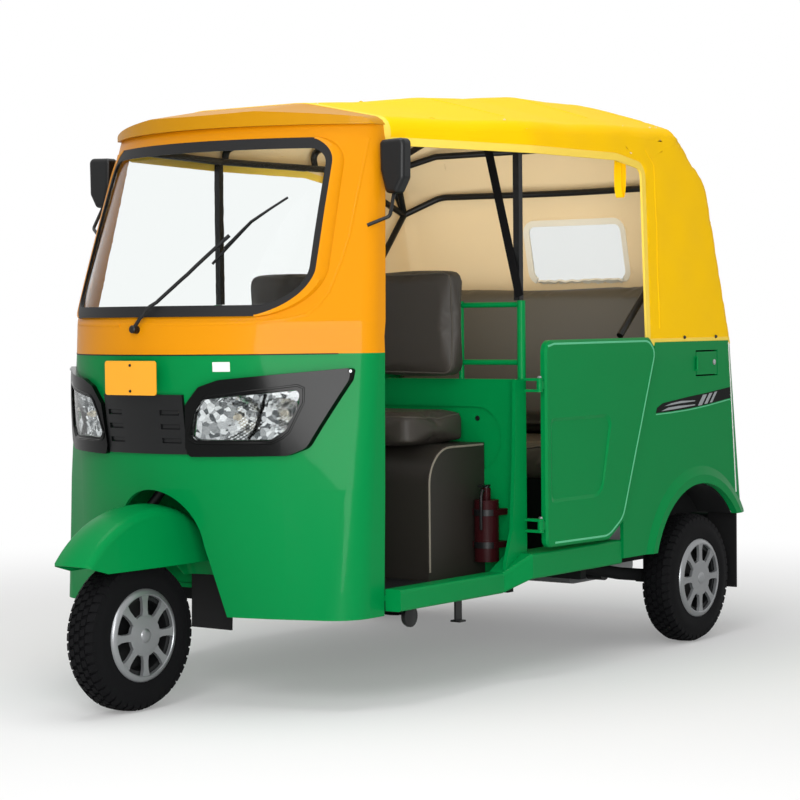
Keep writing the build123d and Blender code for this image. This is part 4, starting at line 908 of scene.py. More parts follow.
shapes = []
for side in (-1, 1):
    grid = [lamp_point(j / columns, i / rows, side) for i in range(rows + 1) for j in range(columns + 1)]
    shapes.append(wall_back(grid, columns + 1, rows + 1, 2.5))
reflectors = closed_piece("headlamp_bowls", shapes, lamp_chrome, sharp=2)
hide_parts("headlamp_reflectors")
bulb_profile = [(0, 0), (0, 9), (8, 9), (10, 6), (20, 6), (24, 3), (25, 0)]
bulbs, ribs = [], []
for side in (-1, 1):
    for bowl_x, bowl_z, radius in bowls:
        y = float(np.dot(lens_fit, [1, bowl_x, bowl_z, bowl_x ** 2, bowl_x * bowl_z, bowl_z ** 2]))
        base = Vector((side * bowl_x, y + 38, bowl_z)) / 1000
        bulbs.append(turned(bulb_profile, base, FORWARD, 16))
    rib = [lamp_point(0.66 + 0.035 * v, v, side) + Vector((0, -0.004, 0))
           for v in (0.02, 0.25, 0.5, 0.75, 0.98)]
    ribs.append(carried(rib, [(-2.5, -8), (2.5, -8), (2.5, 3), (-2.5, 3)], [FORWARD] * len(rib)))
closed_piece("headlamp_bulbs", bulbs, bulb_glass)
closed_piece("headlamp_dividing_ribs", ribs, gloss_black)
print("lens curve laid through", len(found), "points")

# %% [markdown]
# The nose carries thin trim: a raised rim moulded round each lens, black louvres in the grille's slots,
# a white reflector patch, a rubber bead in the joint between the two cab colours, and the fold pressed
# into the windscreen surround. Each follows the curved panel, so its path is cast onto the CAD
# surface from ahead and then lifted off it.

# %% Trim on the nose
def on_panel(tree, marks, lift, steps=8):
    """Path along (x, z) marks in mm, cast onto a panel from ahead of it. Returns points and normals."""
    return cast_path(tree, [from_ahead(x, z) for x, z in between(marks, steps)], REARWARD, lift)


bezel_tree = surface_of("headlamp_bezels")
cowl_tree = surface_of("front_cowl")
screen_tree = surface_of("windscreen_frame")
lens_rim = [(178, 806), (196, 838), (212, 852), (300, 864), (420, 882), (433, 874), (432, 836), (402, 757),
            (386, 740), (364, 727), (178, 727), (160, 736), (156, 750), (178, 806)]
rim_shapes, louvres = [], []
half_round = [(-3.4, -1), (3.4, -1), (3.0, 1.4), (1.6, 2.8), (-1.6, 2.8), (-3.0, 1.4)]
for side in (-1, 1):
    path, tilt = on_panel(bezel_tree, [(side * x, z) for x, z in lens_rim], 0)
    rim_shapes.append(carried(path, half_round, tilt, closed=True))
    for row in range(3):
        low = 726 + row * 38 + 7
        path, tilt = on_panel(cowl_tree, [(side * 69, low), (side * 131, low)], 2.2, steps=10)
        louvres.append(carried(path, [(-7.2, -2.4), (7.2, -2.4), (7.2, 1.2), (3, 2.6), (-7.2, 0.4)], tilt))
closed_piece("headlamp_rims", rim_shapes, gloss_black)
closed_piece("grille_louvres", louvres, moulded_black)

patch_path, patch_tilt = on_panel(cowl_tree, [(229, 933), (277, 933)], 0.2, steps=8)
closed_piece("white_reflector_patch", [carried(patch_path, [(-13, -0.6), (13, -0.6), (13, 0.5), (-13, 0.5)],
                                               patch_tilt)], plate_white)
waist_marks = [(-500, 965), (-380, 965), (-200, 965), (0, 965), (200, 965), (380, 965), (500, 965)]
waist_path, waist_tilt = on_panel(cowl_tree, waist_marks, 0, steps=12)
closed_piece("waist_bead", [carried(waist_path, [(-1.6, -2), (1.6, -2), (1.6, 0.9), (-1.6, 0.9)], waist_tilt)],
             black_rubber)
# (ahead of the rear axle, x, z)
fold_marks = [(1512, 472, 1553), (1553, 472, 1436), (1607, 474, 1283), (1638, 469, 1212), (1678, 458, 1131),
              (1706, 443, 1096), (1732, 426, 1072), (1777, 386, 1060), (1840, 316, 1050), (1905, 196, 1048),
              (1935, 42, 1046)]
folds = []
for side in (-1, 1):
    path, tilt = [], []
    for ahead_mm, x, z in between(fold_marks, 6):
        spot = place(ahead_mm, side * x, z)
        out = (spot - place(1500, 0, z)).normalized()
        point, normal = landed(screen_tree, spot + out * 0.15, -out)
        path.append(point)
        tilt.append(normal)
    folds.append(carried(path, [(-7, -1), (7, -1), (2.0, 1.9), (-2.0, 1.9)], tilt))
closed_piece("windscreen_surround_fold", folds, orange_enamel, sharp=50)
print("nose trim", len(rim_shapes) + len(louvres) + len(folds))

# %% [markdown]
# The rubber round the windscreen is half hidden at the sides, where the pillar's steel flange is pressed
# over it. The flange is a band of points between the rubber's outer edge and a line nearer the glass,
# widest halfway up and run out to nothing at top and bottom. Two pins hold the blank plate, and a screw
# stands at the outer end of each lamp surround.

# %% Pillar flanges over the gasket
gasket_tree = surface_of("windscreen_gasket")
low_corner, high_corner = (316.6, 1197, 105), (350.2, 1477, 55)  # x, z and radius of the opening's bends
flange_width = 17
turns = [(low_corner, d) for d in range(-86, 4, 6)] + [(high_corner, d) for d in range(4, 85, 8)]


def flange_mark(t, grow):
    """Point on the window's outline, grown by this many mm, and its outward direction, both as (x, z)."""
    spot = t * (len(turns) - 1)
    k = min(int(spot), len(turns) - 2)
    ends = []
    for (cx, cz, radius), angle in (turns[k], turns[k + 1]):
        out = (math.cos(math.radians(angle)), math.sin(math.radians(angle)))
        ends.append([cx + (radius + grow) * out[0], cz + (radius + grow) * out[1], *out])
    return [a + (b - a) * (spot - k) for a, b in zip(*ends)]


flanges, flange_steps = [], 60
for side in (-1, 1):
    grid = []
    for row in range(4):
        for step in range(flange_steps + 1):
            t = step / flange_steps
            cover = flange_width * math.sin(math.pi * min(max(t, 0.02), 0.98)) ** 0.6
            grow, lift, tree = [(27, 0.3, screen_tree), (22.5, 1.0, gasket_tree),
                                (24 - cover, 1.0, gasket_tree),
                                (24 - cover, -0.8, gasket_tree)][row]
            x, z, out_x, out_z = flange_mark(t, grow)
            point = landed(tree, from_ahead(side * x, z), REARWARD, lift)[0]
            if row == 1:
                point = point + Vector((side * out_x, 0, out_z)) * 0.0022
            grid.append(point)
    flanges.append(wall_back(grid, flange_steps + 1, 4, 1.0))
closed_piece("pillar_flanges", flanges, orange_enamel, sharp=50)
plate_tree = surface_of("front_plate")
plate_pins = [landed(plate_tree, from_ahead(0, z), REARWARD, 0.8) for z in (868, 938)]
bezel_pins = [landed(bezel_tree, Vector((side * 470, -1.4, 0.812)), REARWARD, 0.8) for side in (-1, 1)]
fasteners("plate_pins", plate_pins, 4.2, 2.4, powder_black)
fasteners("bezel_screws", bezel_pins, 5, 2.6, zinc_plate)
print("flanges", len(flanges), "pins", len(plate_pins))

# %% [markdown]
# The wiper parks across the middle of the screen: a pivot with a cap, a flat spring arm, and a bridge that
# carries the rubber. Mirrors have silvered glass let into the rear face of each head.

# %% Wiper and mirror glass
glass_tree = surface_of("windscreen_glass", "windscreen_frame", "windscreen_gasket")
pivot, pivot_normal = landed(glass_tree, from_ahead(1, 1034), REARWARD)
arm_path, arm_tilt = on_panel(glass_tree, [(1, 1034), (60, 1101), (128, 1176), (229, 1302)], 17, 6)
blade_path, blade_tilt = on_panel(glass_tree, [(184, 1208), (255, 1321), (292, 1356), (335, 1394)], 4.5, 6)
bridge_path, bridge_tilt = on_panel(glass_tree, [(205, 1248), (255, 1321), (310, 1370)], 10.5, 6)
closed_piece("wiper_arm", [
    turned([(-2, 0), (-2, 11), (20, 11), (23, 8), (24, 0)], pivot, pivot_normal, 24),
    carried(arm_path, [(-5.5, -2), (5.5, -2), (4, 2.5), (-4, 2.5)], arm_tilt),
    carried(bridge_path, [(-3.5, -2.2), (3.5, -2.2), (2, 2), (-2, 2)], bridge_tilt)], powder_black)
blade_section = [(-1.2, -4.2), (1.2, -4.2), (3, 1.5), (2.4, 3.6), (-2.4, 3.6), (-3, 1.5)]
closed_piece("wiper_rubber", [carried(blade_path, blade_section, blade_tilt)], black_rubber)
mirror_outline = [(516, 1538), (584, 1541), (582, 1444), (562, 1407), (532, 1407), (518, 1467)]
mirror_face = (REAR_AXLE_Y - 1500 + 18) / 1000
panes = []
for side in (-1, 1):
    near = [Vector((side * x / 1000, mirror_face - 0.001, z / 1000)) for x, z in mirror_outline]
    far = [point + Vector((0, 0.0022, 0)) for point in near]
    panes.append(prism(near, far))
closed_piece("mirror_glasses", panes, mirror_silver)
print("wiper pivot", [round(v, 3) for v in pivot])

# %% [markdown]
# The rear sides wear a thin vinyl stripe that widens to the back and ends in grey slashes. Film follows
# the panel, so each patch is a grid between a lower and an upper edge, cast onto the CAD body from the side and
# lifted a fraction of a millimetre. Its back is pushed into the panel, so the film has a real edge.

# %% Vinyl stripes
film_foot = -0.8  # how far a film's back reaches into the panel


def laid_film(tree, low, high, side, lift, columns=20, rows=4):
    """Points and faces of a film between two edges of (ahead, z) marks on the panel at this side."""
    def at(marks, t):
        spot = t * (len(marks) - 1)
        k = min(int(spot), len(marks) - 2)
        return [marks[k][i] + (marks[k + 1][i] - marks[k][i]) * (spot - k) for i in (0, 1)]
    layers = []
    for raised in (lift, film_foot):
        layers.append([])
        for i in range(rows + 1):
            for j in range(columns + 1):
                first, second = at(low, j / columns), at(high, j / columns)
                ahead_mm, z = [first[k] + (second[k] - first[k]) * i / rows for k in (0, 1)]
                start = from_side(ahead_mm, side, z)
                layers[-1].append(landed(tree, start, Vector((-side, 0, 0)), raised)[0])
    return closed_grid(*layers, columns + 1, rows + 1)


film_black, _, _ = finish_of("matt_black_vinyl_film", "#0c0e0d", 0.6, Specular_IOR_Level=0.1)
body_tree = surface_of("rear_body")
stripe_low = [(268, 752), (180, 754), (60, 759), (-60, 768), (-215, 784)]
stripe_high = [(262, 768), (225, 782), (60, 797), (-60, 806), (-215, 820)]
slashes = [(-20, 26), (-62, 20), (-98, 16)]
stripe_shapes, slash_shapes, swoosh_shapes = [], [], []
for side in (-1, 1):
    stripe_shapes.append(laid_film(body_tree, stripe_low, stripe_high, side, 0.5, 32, 4))
    for start, width in slashes:
        base = 766 - (start + 20) * 0.09
        slash_shapes.append(laid_film(body_tree, [(start + 22, base), (start + 22 - width, base + 1)],
                                      [(start - 12, base + 34), (start - 12 - width, base + 35)],
                                      side, 0.9, 3, 3))
    swoosh_shapes.append(laid_film(body_tree, [(235, 757), (120, 762), (20, 768)],
                                   [(190, 767), (120, 770), (20, 771)], side, 0.9, 10, 2))
    swoosh_shapes.append(laid_film(body_tree, [(215, 772), (110, 778), (20, 781)],
                                   [(170, 780), (110, 785), (20, 784)], side, 0.9, 10, 2))
closed_piece("side_stripes", stripe_shapes, film_black)
closed_piece("stripe_slashes", slash_shapes + swoosh_shapes, stripe_grey)

# %% [markdown]
# More small things sit on the sides: press studs that hold the hood's hem, a white strip up the rear
# corners, a lock on the fuel flap, bolts through the hinge knuckles, a thin light line under each stripe, and
# a light green bead along a door's upper, rear and lower edges, a painted highlight for the bright line that
# light draws along the door's rounded edge. The bead stops short of the front edge, where the hinges are.

# %% Studs, corner strips, locks and beads
canopy_tree = surface_of("canopy")
stud_spots, white_strips = [], []
for side in (-1, 1):
    for ahead_mm in (82, -122):
        stud_spots.append(landed(canopy_tree, from_side(ahead_mm, side, 988), Vector((-side, 0, 0)), 2.6))
    heights = [470 + (968 - 470) * k / 40 for k in range(41)]
    corner_starts = [from_side(-222 - (800 - z) * 0.08, side, z) for z in heights]
    corner_path, corner_tilt = cast_path(body_tree, corner_starts, Vector((-side, 0, 0)))
    white_strips.append(carried(corner_path, [(-3, -1.5), (3, -1.5), (2.2, 1.2), (-2.2, 1.2)], corner_tilt))
fasteners("hood_press_studs", stud_spots, 6, 4, powder_black, sides=14)
# A white strip up each rear corner.
closed_piece("rear_corner_white_strips", white_strips, plate_white)
flap_tree = surface_of("fuel_flap")
lock, lock_normal = landed(flap_tree, from_side(-108, 1, 905), Vector((-1, 0, 0)))
closed_piece("fuel_flap_lock", [
    turned([(-1, 0), (-1, 9), (2, 9), (3, 7.5), (3, 3), (2, 0)], lock, lock_normal, 20),
    slab(lock - Vector((0, 0.0012, 0.005)), lock + Vector((0.0036, 0.0012, 0.005)))],
             zinc_plate, "fuel_hatch")
# The door bead's corners, as (ahead, z) in mm. Its light green is a painted highlight along the door's edge.
highlight_bead_corners = [(915, 979), (331, 980), (295, 945), (493, 442), (577, 393), (915, 396)]
highlight_bead_outline, highlight_bead_bend = [], 26
for k, corner in enumerate(highlight_bead_corners[1:-1], 1):
    before, after = highlight_bead_corners[k - 1], highlight_bead_corners[k + 1]
    ends = []
    for other in (before, after):
        share = min(0.45, highlight_bead_bend / math.dist(corner, other))
        ends.append([corner[i] + (other[i] - corner[i]) * share for i in (0, 1)])
    for t in (0, 0.25, 0.5, 0.75, 1):
        highlight_bead_outline.append([(1 - t) ** 2 * ends[0][i] + 2 * t * (1 - t) * corner[i] + t * t * ends[1][i]
                             for i in (0, 1)])
highlight_bead_outline = [highlight_bead_corners[0], *highlight_bead_outline, highlight_bead_corners[-1]]
for side, body, name in ((1, "left_door", "left"), (-1, "right_door", "right")):
    door_tree = surface_of(f"door_{name}")
    starts = [from_side(ahead_mm, side, z) for ahead_mm, z in between(highlight_bead_outline, pitch=40)]
    path, tilt = cast_path(door_tree, starts, Vector((-side, 0, 0)))
    closed_piece(f"{name}_door_highlight_bead", [carried(path, [(-3.8, -1), (3.8, -1), (2.4, 0.8), (-2.4, 0.8)], tilt)],
                 highlight_and_line_green_enamel, body, 60)
    bolts = [(place(938, side * 647, hinge + 21.5), Vector((0, 0, 1))) for hinge in (450, 860)]
    fasteners(f"{name}_hinge_bolts", bolts, 7, 5, zinc_plate, sides=6)
line_low, line_high = [[(ahead_mm, z - drop) for ahead_mm, z in stripe_low] for drop in (6, 2.5)]
lines = [laid_film(body_tree, line_low, line_high, side, 0.5, 32, 1) for side in (-1, 1)]
closed_piece("stripe_edges", lines, highlight_and_line_green_enamel)
print("studs", len(stud_spots))

# %% [markdown]
# Inside the hood a yellow grab loop of folded canvas hangs from the bow on each side. It is flat and stiff
# enough to keep its shape, so it is carried along a long oval instead of being simulated.

# %% Grab loops
loop_shapes = []
for side in (-1, 1):
    middle = place(372, side * 580, 1499)
    ring = [(14 * math.cos(a), 72 * math.sin(a)) for a in [2 * math.pi * k / 40 for k in range(40)]]
    path = [middle + Vector((0, u, v)) / 1000 for u, v in ring]
    tilt = [Vector((0, u / 14, v / 72)).normalized() for u, v in ring]
    loop_shapes.append(carried(path, [(-13, -1), (13, -1), (13, 1), (-13, 1)], tilt, closed=True))
closed_piece("grab_loops", loop_shapes, canopy_canvas)
print("grab loops", len(loop_shapes))

# %% [markdown]
# A flat webbing stay runs from the left partition post up to the roof bow and keeps the hood from swaying.
# It is pulled tight between two fixed ends, so it is a straight band. The seams where the hood's panels are
# sewn together are narrow raised strips cast onto its skin.

# %% Webbing stay and hood seams
webbing_black = woven("black_polyester_webbing", "#111112", 0.7, 1.4)
low_end, high_end = place(966, 598, 1118), place(900, 420, 1664)
path = [low_end.lerp(high_end, k / 8) for k in range(9)]
stay = carried(path, [(-14, -1.2), (14, -1.2), (14, 1.2), (-14, 1.2)], [Vector((0, 1, 0.1))] * len(path))
closed_piece("webbing_stay", [stay], webbing_black)
hood_tree = surface_of("canopy_sheet")
seams, seam_section, seam_lift = [], [(-5, -1.2), (5, -1.2), (4, 0.8), (-4, 0.8)], 0.4
seam_marks = [(278, 1575), (228, 1532), (226, 1400), (226, 1264), (225, 1120), (225, 1004)]
for side in (-1, 1):
    starts = [from_side(ahead_mm, side, z) for ahead_mm, z in between(seam_marks, 8)]
    path, tilt = cast_path(hood_tree, starts, Vector((-side, 0, 0)), seam_lift)
    seams.append(carried(path, seam_section, tilt))
for ahead_mm in (900, 437, 100):
    starts = [place(ahead_mm, -500 + 1000 * k / 48, 2100) for k in range(49)]
    path, tilt = cast_path(hood_tree, starts, DOWNWARD, seam_lift)
    seams.append(carried(path, seam_section, tilt))
closed_piece("hood_seams", seams, canopy_canvas)
print("seams", len(seams))

# %% [markdown]
# Seams tell the eye that a cover was sewn. A round piping runs along the edges of the seat box, round the
# top of both cushions and round the driver's backrest. On those it is laid on the nearest point of the
# blown-up cloth, so that it follows the surface wherever the foam has pushed it.

# %% Piping on the seats
piping_vinyl = leathercloth("light_grey_vinyl_piping", "#7a7468")
dark_piping = leathercloth("dark_grey_vinyl_piping", "#4a463f")
pipes = []
arc = [(1229, 330), (1229, 580)] + [(1229 - 104 * (1 - math.cos(a)), 580 + 104 * math.sin(a))
                                    for a in [math.radians(d) for d in range(9, 91, 9)]] + [(960, 684)]
for x in (-458, 458):
    path = [place(ahead_mm, x * 1.002, z) for ahead_mm, z in arc]
    pipes.append(carried(path, round_section(3.2, 8), [Vector((1, 0, 0))] * len(path)))
closed_piece("seat_box_piping", pipes, piping_vinyl)


def cushion_piping(node, plane, inset, level, corner):
    """Ring of piping near one face of a cushion, in the plane of two axes. Sizes in metres."""
    low, high = [Vector(c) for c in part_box(node)]
    a, b = plane
    c = 3 - a - b
    tree = surface_of(pads[node].name)
    ring = []
    for sa, sb, start in ((1, 1, 0), (-1, 1, 90), (-1, -1, 180), (1, -1, 270)):
        for d in range(0, 91, 15):
            angle = math.radians(start + d)
            edge_a = (high[a] - inset - corner) if sa > 0 else (low[a] + inset + corner)
            edge_b = (high[b] - inset - corner) if sb > 0 else (low[b] + inset + corner)
            ring.append((edge_a + corner * math.cos(angle), edge_b + corner * math.sin(angle)))
    points = []
    for along_a, along_b in between(ring + ring[:1], pitch=0.03):
        spot = Vector((0, 0, 0))
        spot[a], spot[b] = along_a, along_b
        spot[c] = low[c] + (high[c] - low[c]) * level
        points.append(tree.find_nearest(spot))
    path = [hit[0] for hit in points]
    tilt = [hit[1] for hit in points]
    return carried(path, round_section(2.6, 8), tilt, closed=True)


piped = (("driver_cushion", (0, 1), 1.0), ("passenger_cushion", (0, 1), 1.0), ("driver_backrest", (0, 2), 0.0))
for node, plane, level in piped:
    closed_piece(f"{node}_piping", [cushion_piping(node, plane, 0.004, level, 0.045)], dark_piping)
print("piping on", len(piped), "padded pieces and the seat box")

# %% [markdown]
# Each floor has a ribbed rubber mat. The ribs are 12 mm apart, so a Geometry Nodes tree lays one bar again
# and again along a line: its inputs are how many and how far apart.

# %% Geometry Nodes: bars in a row
row_tree, row_in = group_of("bars_in_a_row", [("Count", "NodeSocketInt"), ("Pitch", "NodeSocketVector"),
                                              ("Finish", "NodeSocketMaterial")])
row_line = add_node(row_tree, "GeometryNodeMeshLine", {"mode": "OFFSET"},
                    {"Count": row_in.outputs["Count"], "Offset": row_in.outputs["Pitch"]})
row_copies = add_node(row_tree, "GeometryNodeInstanceOnPoints",
                      inputs={"Points": row_line.outputs[0], "Instance": row_in.outputs["Geometry"]})
ended(row_tree, row_copies.outputs[0], row_in.outputs["Finish"])


def bar_mesh(low, high):
    """Mesh of one bar between two corners in metres."""
    return loose_mesh("bar_pattern", slab(low, high), black_rubber)


rib_count, rib_pitch = 89, Vector((0.012, 0, 0))
mat_low, mat_high = place(1562, -540, 302.3), place(1240, 540, 306)
closed_piece("floor_mat", [slab(mat_low, mat_high)], black_rubber)
grown("floor_mat_ribs", row_tree, bar_mesh(place(1556, -532, 305.5), place(1244, -526, 307.5)),
      {"Count": rib_count, "Pitch": rib_pitch, "Finish": black_rubber})
bench_mat_low, bench_mat_high = place(924, -540, 302.3), place(482, 540, 306)
closed_piece("passenger_floor_mat", [slab(bench_mat_low, bench_mat_high)], black_rubber)
grown("passenger_mat_ribs", row_tree, bar_mesh(place(918, -532, 305.5), place(488, -526, 307.5)),
      {"Count": rib_count, "Pitch": rib_pitch, "Finish": black_rubber})
print("ribs", 2 * rib_count)

# %% [markdown]
# The driver steers with a scooter bar. It gets brake and clutch levers in front of the grips, a dial on
# the clamp, and a foot pedal on the floor. Levers are bent round bar; the dial is a shallow turned case with a
# pale face, ticks and a needle.

# %% Levers, dial and pedal
bar_low, bar_high = [Vector(c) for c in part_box("handlebar")]
levers = []
for side in (-1, 1):
    path = [Vector((side * x / 1000, y / 1000, z / 1000)) for x, y, z in
            ((150, -735, 1016), (162, -762, 1016), (200, -764, 1018), (255, -745, 1022), (300, -722, 1024))]
    levers.append(carried(path, round_section(5, 10)))
    clamp = Vector((side * 0.150, -0.727, 1.010))
    levers.append(turned([(-9, 0), (-9, 14), (9, 14), (9, 0)], clamp, (0, 0, 1), 16))
closed_piece("hand_levers", levers, cast_aluminium, "steering")
dial_centre = Vector((0, (bar_low.y + bar_high.y) / 2 - 0.006, bar_high.z - 0.002))
dial_axis = Vector((0, 0.35, 0.94)).normalized()
case_profile = [(0, 0), (0, 34), (10, 36), (13, 36), (13, 32), (10.5, 31), (10.5, 0)]
face_profile = [(10.2, 0), (10.2, 31), (11, 31), (11, 0)]
closed_piece("dial_case", [turned(case_profile, dial_centre, dial_axis, 40)], moulded_black, "steering")
closed_piece("dial_face", [turned(face_profile, dial_centre, dial_axis, 40)], plate_white, "steering")
tick_side = dial_axis.orthogonal().normalized()
tick_up = dial_axis.cross(tick_side)
ticks = []
for k in range(11):
    a = math.radians(-40 + 26 * k)
    out = tick_side * math.cos(a) + tick_up * math.sin(a)
    path = [dial_centre + dial_axis * 0.0112 + out * r for r in (0.023, 0.029)]
    ticks.append(carried(path, [(-0.6, -0.4), (0.6, -0.4), (0.6, 0.4), (-0.6, 0.4)], [dial_axis] * 2))
needle = [dial_centre + dial_axis * 0.012, dial_centre + dial_axis * 0.012 + tick_side * 0.024]
ticks.append(carried(needle, [(-0.9, -0.4), (0.9, -0.4), (0.9, 0.4), (-0.9, 0.4)], [dial_axis] * 2))
closed_piece("dial_ticks", ticks, moulded_black, "steering")
pedal_arm = [place(1555, 190, 306), place(1540, 190, 330), place(1500, 190, 352)]
pedal_pad = [place(1478, 190, 372), place(1515, 190, 346)]
pad_section = [(-28, -4), (28, -4), (28, 4), (-28, 4)]
closed_piece("brake_pedal", [carried(pedal_arm, round_section(6, 10)),
                             carried(pedal_pad, pad_section, [Vector((0, 1, 1.4))] * 2)], powder_black)
print("levers", len(levers))

# %% [markdown]
# The extinguisher's valve, handle and hose are what make it read as one. A short moulded hose curves down
# from the valve along the bottle. It is stiff and about 120 mm long, so it is a fixed fitting and no cord. Two
# straps go round the bottle.

# %% Extinguisher details
valve = place(1002, 500, 560)
hose = [valve + Vector(p) / 1000
        for p in ((0, -14, -8), (6, -30, -6), (10, -42, -24), (10, -43, -70), (8, -40, -120))]
strap = [(0, 36.2), (0, 37.4), (18, 37.4), (18, 36.2)]
closed_piece("extinguisher_fittings", [
    turned([(-12, 0), (-12, 10), (6, 10), (8, 8), (8, 0)], valve, (0, 0, 1), 16),
    slab(valve + Vector((-0.007, -0.034, 0.004)), valve + Vector((0.007, 0.012, 0.009))),
    carried(hose, round_section(4.5, 10)),
    turned(strap, place(1002, 500, 385), (0, 0, 1), 40),
    turned(strap, place(1002, 500, 480), (0, 0, 1), 40)], moulded_black)
print("extinguisher valve at", [round(v, 3) for v in valve])

# %% [markdown]
# At the back the lamps have three coloured chambers in a dark housing, a small red reflector stands on each
# corner, the lid has pressed louvres that let the engine breathe, and a blank plate hangs under the
# hinge. Louvres repeat up the lid, so the row tree lays them.

# %% Tail lamps, plate and louvres
lamp_tree = surface_of("tail_lamps")


def rear_patch(tree, low, high, lift, back, columns=8, rows=8):
    """Points and faces of a patch on the rear, between (x, z) corners, lifted off the surface."""
    layers = []
    for raised in (lift, back):
        starts = [from_behind(low[0] + (high[0] - low[0]) * j / columns, low[1] + (high[1] - low[1]) * i / rows)
                  for i in range(rows + 1) for j in range(columns + 1)]
        layers.append(cast_path(tree, starts, FORWARD, raised)[0])
    return closed_grid(*layers, columns + 1, rows + 1)


chambers = {"amber_chambers": (amber_lens, 792, 852), "red_chambers": (red_lens, 716, 786),
            "reversing_chambers": (white_lens, 648, 710)}
for name, (finish, low, high) in chambers.items():
    shapes = [rear_patch(lamp_tree, (left, low), (left + 74, high), 2.4, -0.5) for left in (-587, 513)]
    closed_piece(f"tail_lamp_{name}", shapes, finish)
reflectors_low = []
for side in (-1, 1):
    spot = landed(body_tree, from_behind(side * 588, 462), FORWARD)[0]
    reflectors_low.append(turned([(-2, 0), (-2, 21), (16, 21), (20, 17), (21, 0)], spot,
                                 Vector((side * 0.45, 1, 0)), 28))
closed_piece("corner_reflectors", reflectors_low, red_lens)
lid_tree = surface_of("engine_lid")
closed_piece("rear_blank_plate", [rear_patch(lid_tree, (-100, 700), (100, 770), 3.0, 0.2)], plate_white,
             "engine_hatch")
plate_bolts = [landed(lid_tree, from_behind(x, 735), FORWARD, 4.0) for x in (-85, 85)]
fasteners("rear_plate_bolts", plate_bolts, 5, 2.6, zinc_plate, "engine_hatch")
louvre_low, louvre_count, louvre_pitch = 530, 6, 0.024
foot, above = [landed(lid_tree, from_behind(0, louvre_low + rise), FORWARD)[0] for rise in (0, 100)]
lid_slope = (above - foot) / 0.1
louvre_section = [(-1.5, -6), (3.4, -6), (4.2, -3), (-1.5, 6)]
for number, (start, stop) in enumerate(((-250, -90), (-75, 75), (90, 250))):
    path = [landed(lid_tree, from_behind(x, louvre_low), FORWARD)[0] for x in np.linspace(start, stop, 13)]
    one = carried(path, louvre_section, [Vector((0, 0, 1))] * len(path))
    grown(f"engine_lid_louvres_{number}", row_tree, loose_mesh("louvre_pattern", one, green_enamel),
          {"Count": louvre_count, "Pitch": lid_slope * louvre_pitch, "Finish": green_enamel}, "engine_hatch")
print("louvres", 3 * louvre_count)

# %% [markdown]
# Underneath, the engine block gets cooling fins, and the rear shocks and the front one get coil springs. A
# helix is worked out as points and carried with a round section.

# %% Engine fins and springs
fin = bar_mesh(Vector((-0.205, 0.79, 0.1735)), Vector((-0.2, 1.168, 0.185)))
grown("engine_sump_fins", row_tree, fin, {"Count": 28, "Pitch": Vector((0.015, 0, 0)),
                                          "Finish": cast_aluminium})
side_fin = bar_mesh(Vector((-0.2, 1.183, 0.2)), Vector((0.2, 1.192, 0.204)))
grown("engine_rear_fins", row_tree, side_fin, {"Count": 15, "Pitch": Vector((0, 0, 0.015)),
                                               "Finish": cast_aluminium})


def coil(low, high, radius, wire, turns):
    """Points and faces of a coil spring between two points. Sizes in mm."""
    axis = high - low
    side = axis.orthogonal().normalized()
    up = axis.normalized().cross(side)
    per_turn = 16
    steps = turns * per_turn
    path, tilt = [], []
    for k in range(steps + 1):
        angle = 2 * math.pi * k / per_turn
        out = side * math.cos(angle) + up * math.sin(angle)
        path.append(low + axis * (k / steps) + out * radius / 1000)
        tilt.append(out)
    return carried(path, round_section(wire, 8), tilt)


shock_line = (Vector((-0.126, front_hub.y, 0.2075)), Vector((-0.126, (REAR_AXLE_Y - 1840) / 1000, 0.468)))
run = (shock_line[1] - shock_line[0]).normalized()
closed_piece("front_coil_spring", [coil(shock_line[0] + run * 0.1, shock_line[1] - run * 0.05, 17.5, 3.6, 8)],
             spring_steel, "steering", 60)
rear_coils = [coil(Vector((side * 0.472, 0.8585, 0.302)), Vector((side * 0.472, 0.8585, 0.488)), 30, 4.5, 8)
              for side in (-1, 1)]
closed_piece("rear_coil_springs", rear_coils, spring_steel, sharp=60)
print("springs", 3)

# %% [markdown]
# Small things finish the underside and the cabin wall: a round horn on its bracket and a step bracket
# below each sill, and a bolt at each side of the partition panel.

# %% Horns, brackets and bolts
under_shapes = []
for side in (-1, 1):
    horn = place(1452, side * 548, 236)
    under_shapes.append(turned([(-16, 0), (-16, 10), (-8, 26), (0, 30), (8, 30), (10, 22), (12, 0)], horn,
                               (side, 0, 0), 28))
    under_shapes.append(slab(place(1462, side * 548 - 8, 238), place(1442, side * 548 + 8, 264)))
    under_shapes.append(slab(place(1292, side * 590 - 3, 206), place(1262, side * 590 + 3, 263)))
    under_shapes.append(slab(place(1292, side * 590 - 16, 204), place(1262, side * 590 + 16, 209)))
closed_piece("horns_and_step_brackets", under_shapes, powder_black)
wall_tree = surface_of("partition_panel")
wall_bolts = [landed(wall_tree, Vector((side * 0.43, -0.3, 0.76)), REARWARD, 1.5) for side in (-1, 1)]
fasteners("partition_bolts", wall_bolts, 8, 4, powder_black)
print("brackets", len(under_shapes), "bolts", len(wall_bolts))

# %% [markdown]
# The studio is a pale floor that runs out to a white background. The floor still has to show the
# vehicle's shadow, so it mixes plain diffuse white with a white that doesn't depend on light, and the
# share of that white grows with distance until floor and background meet without a line.

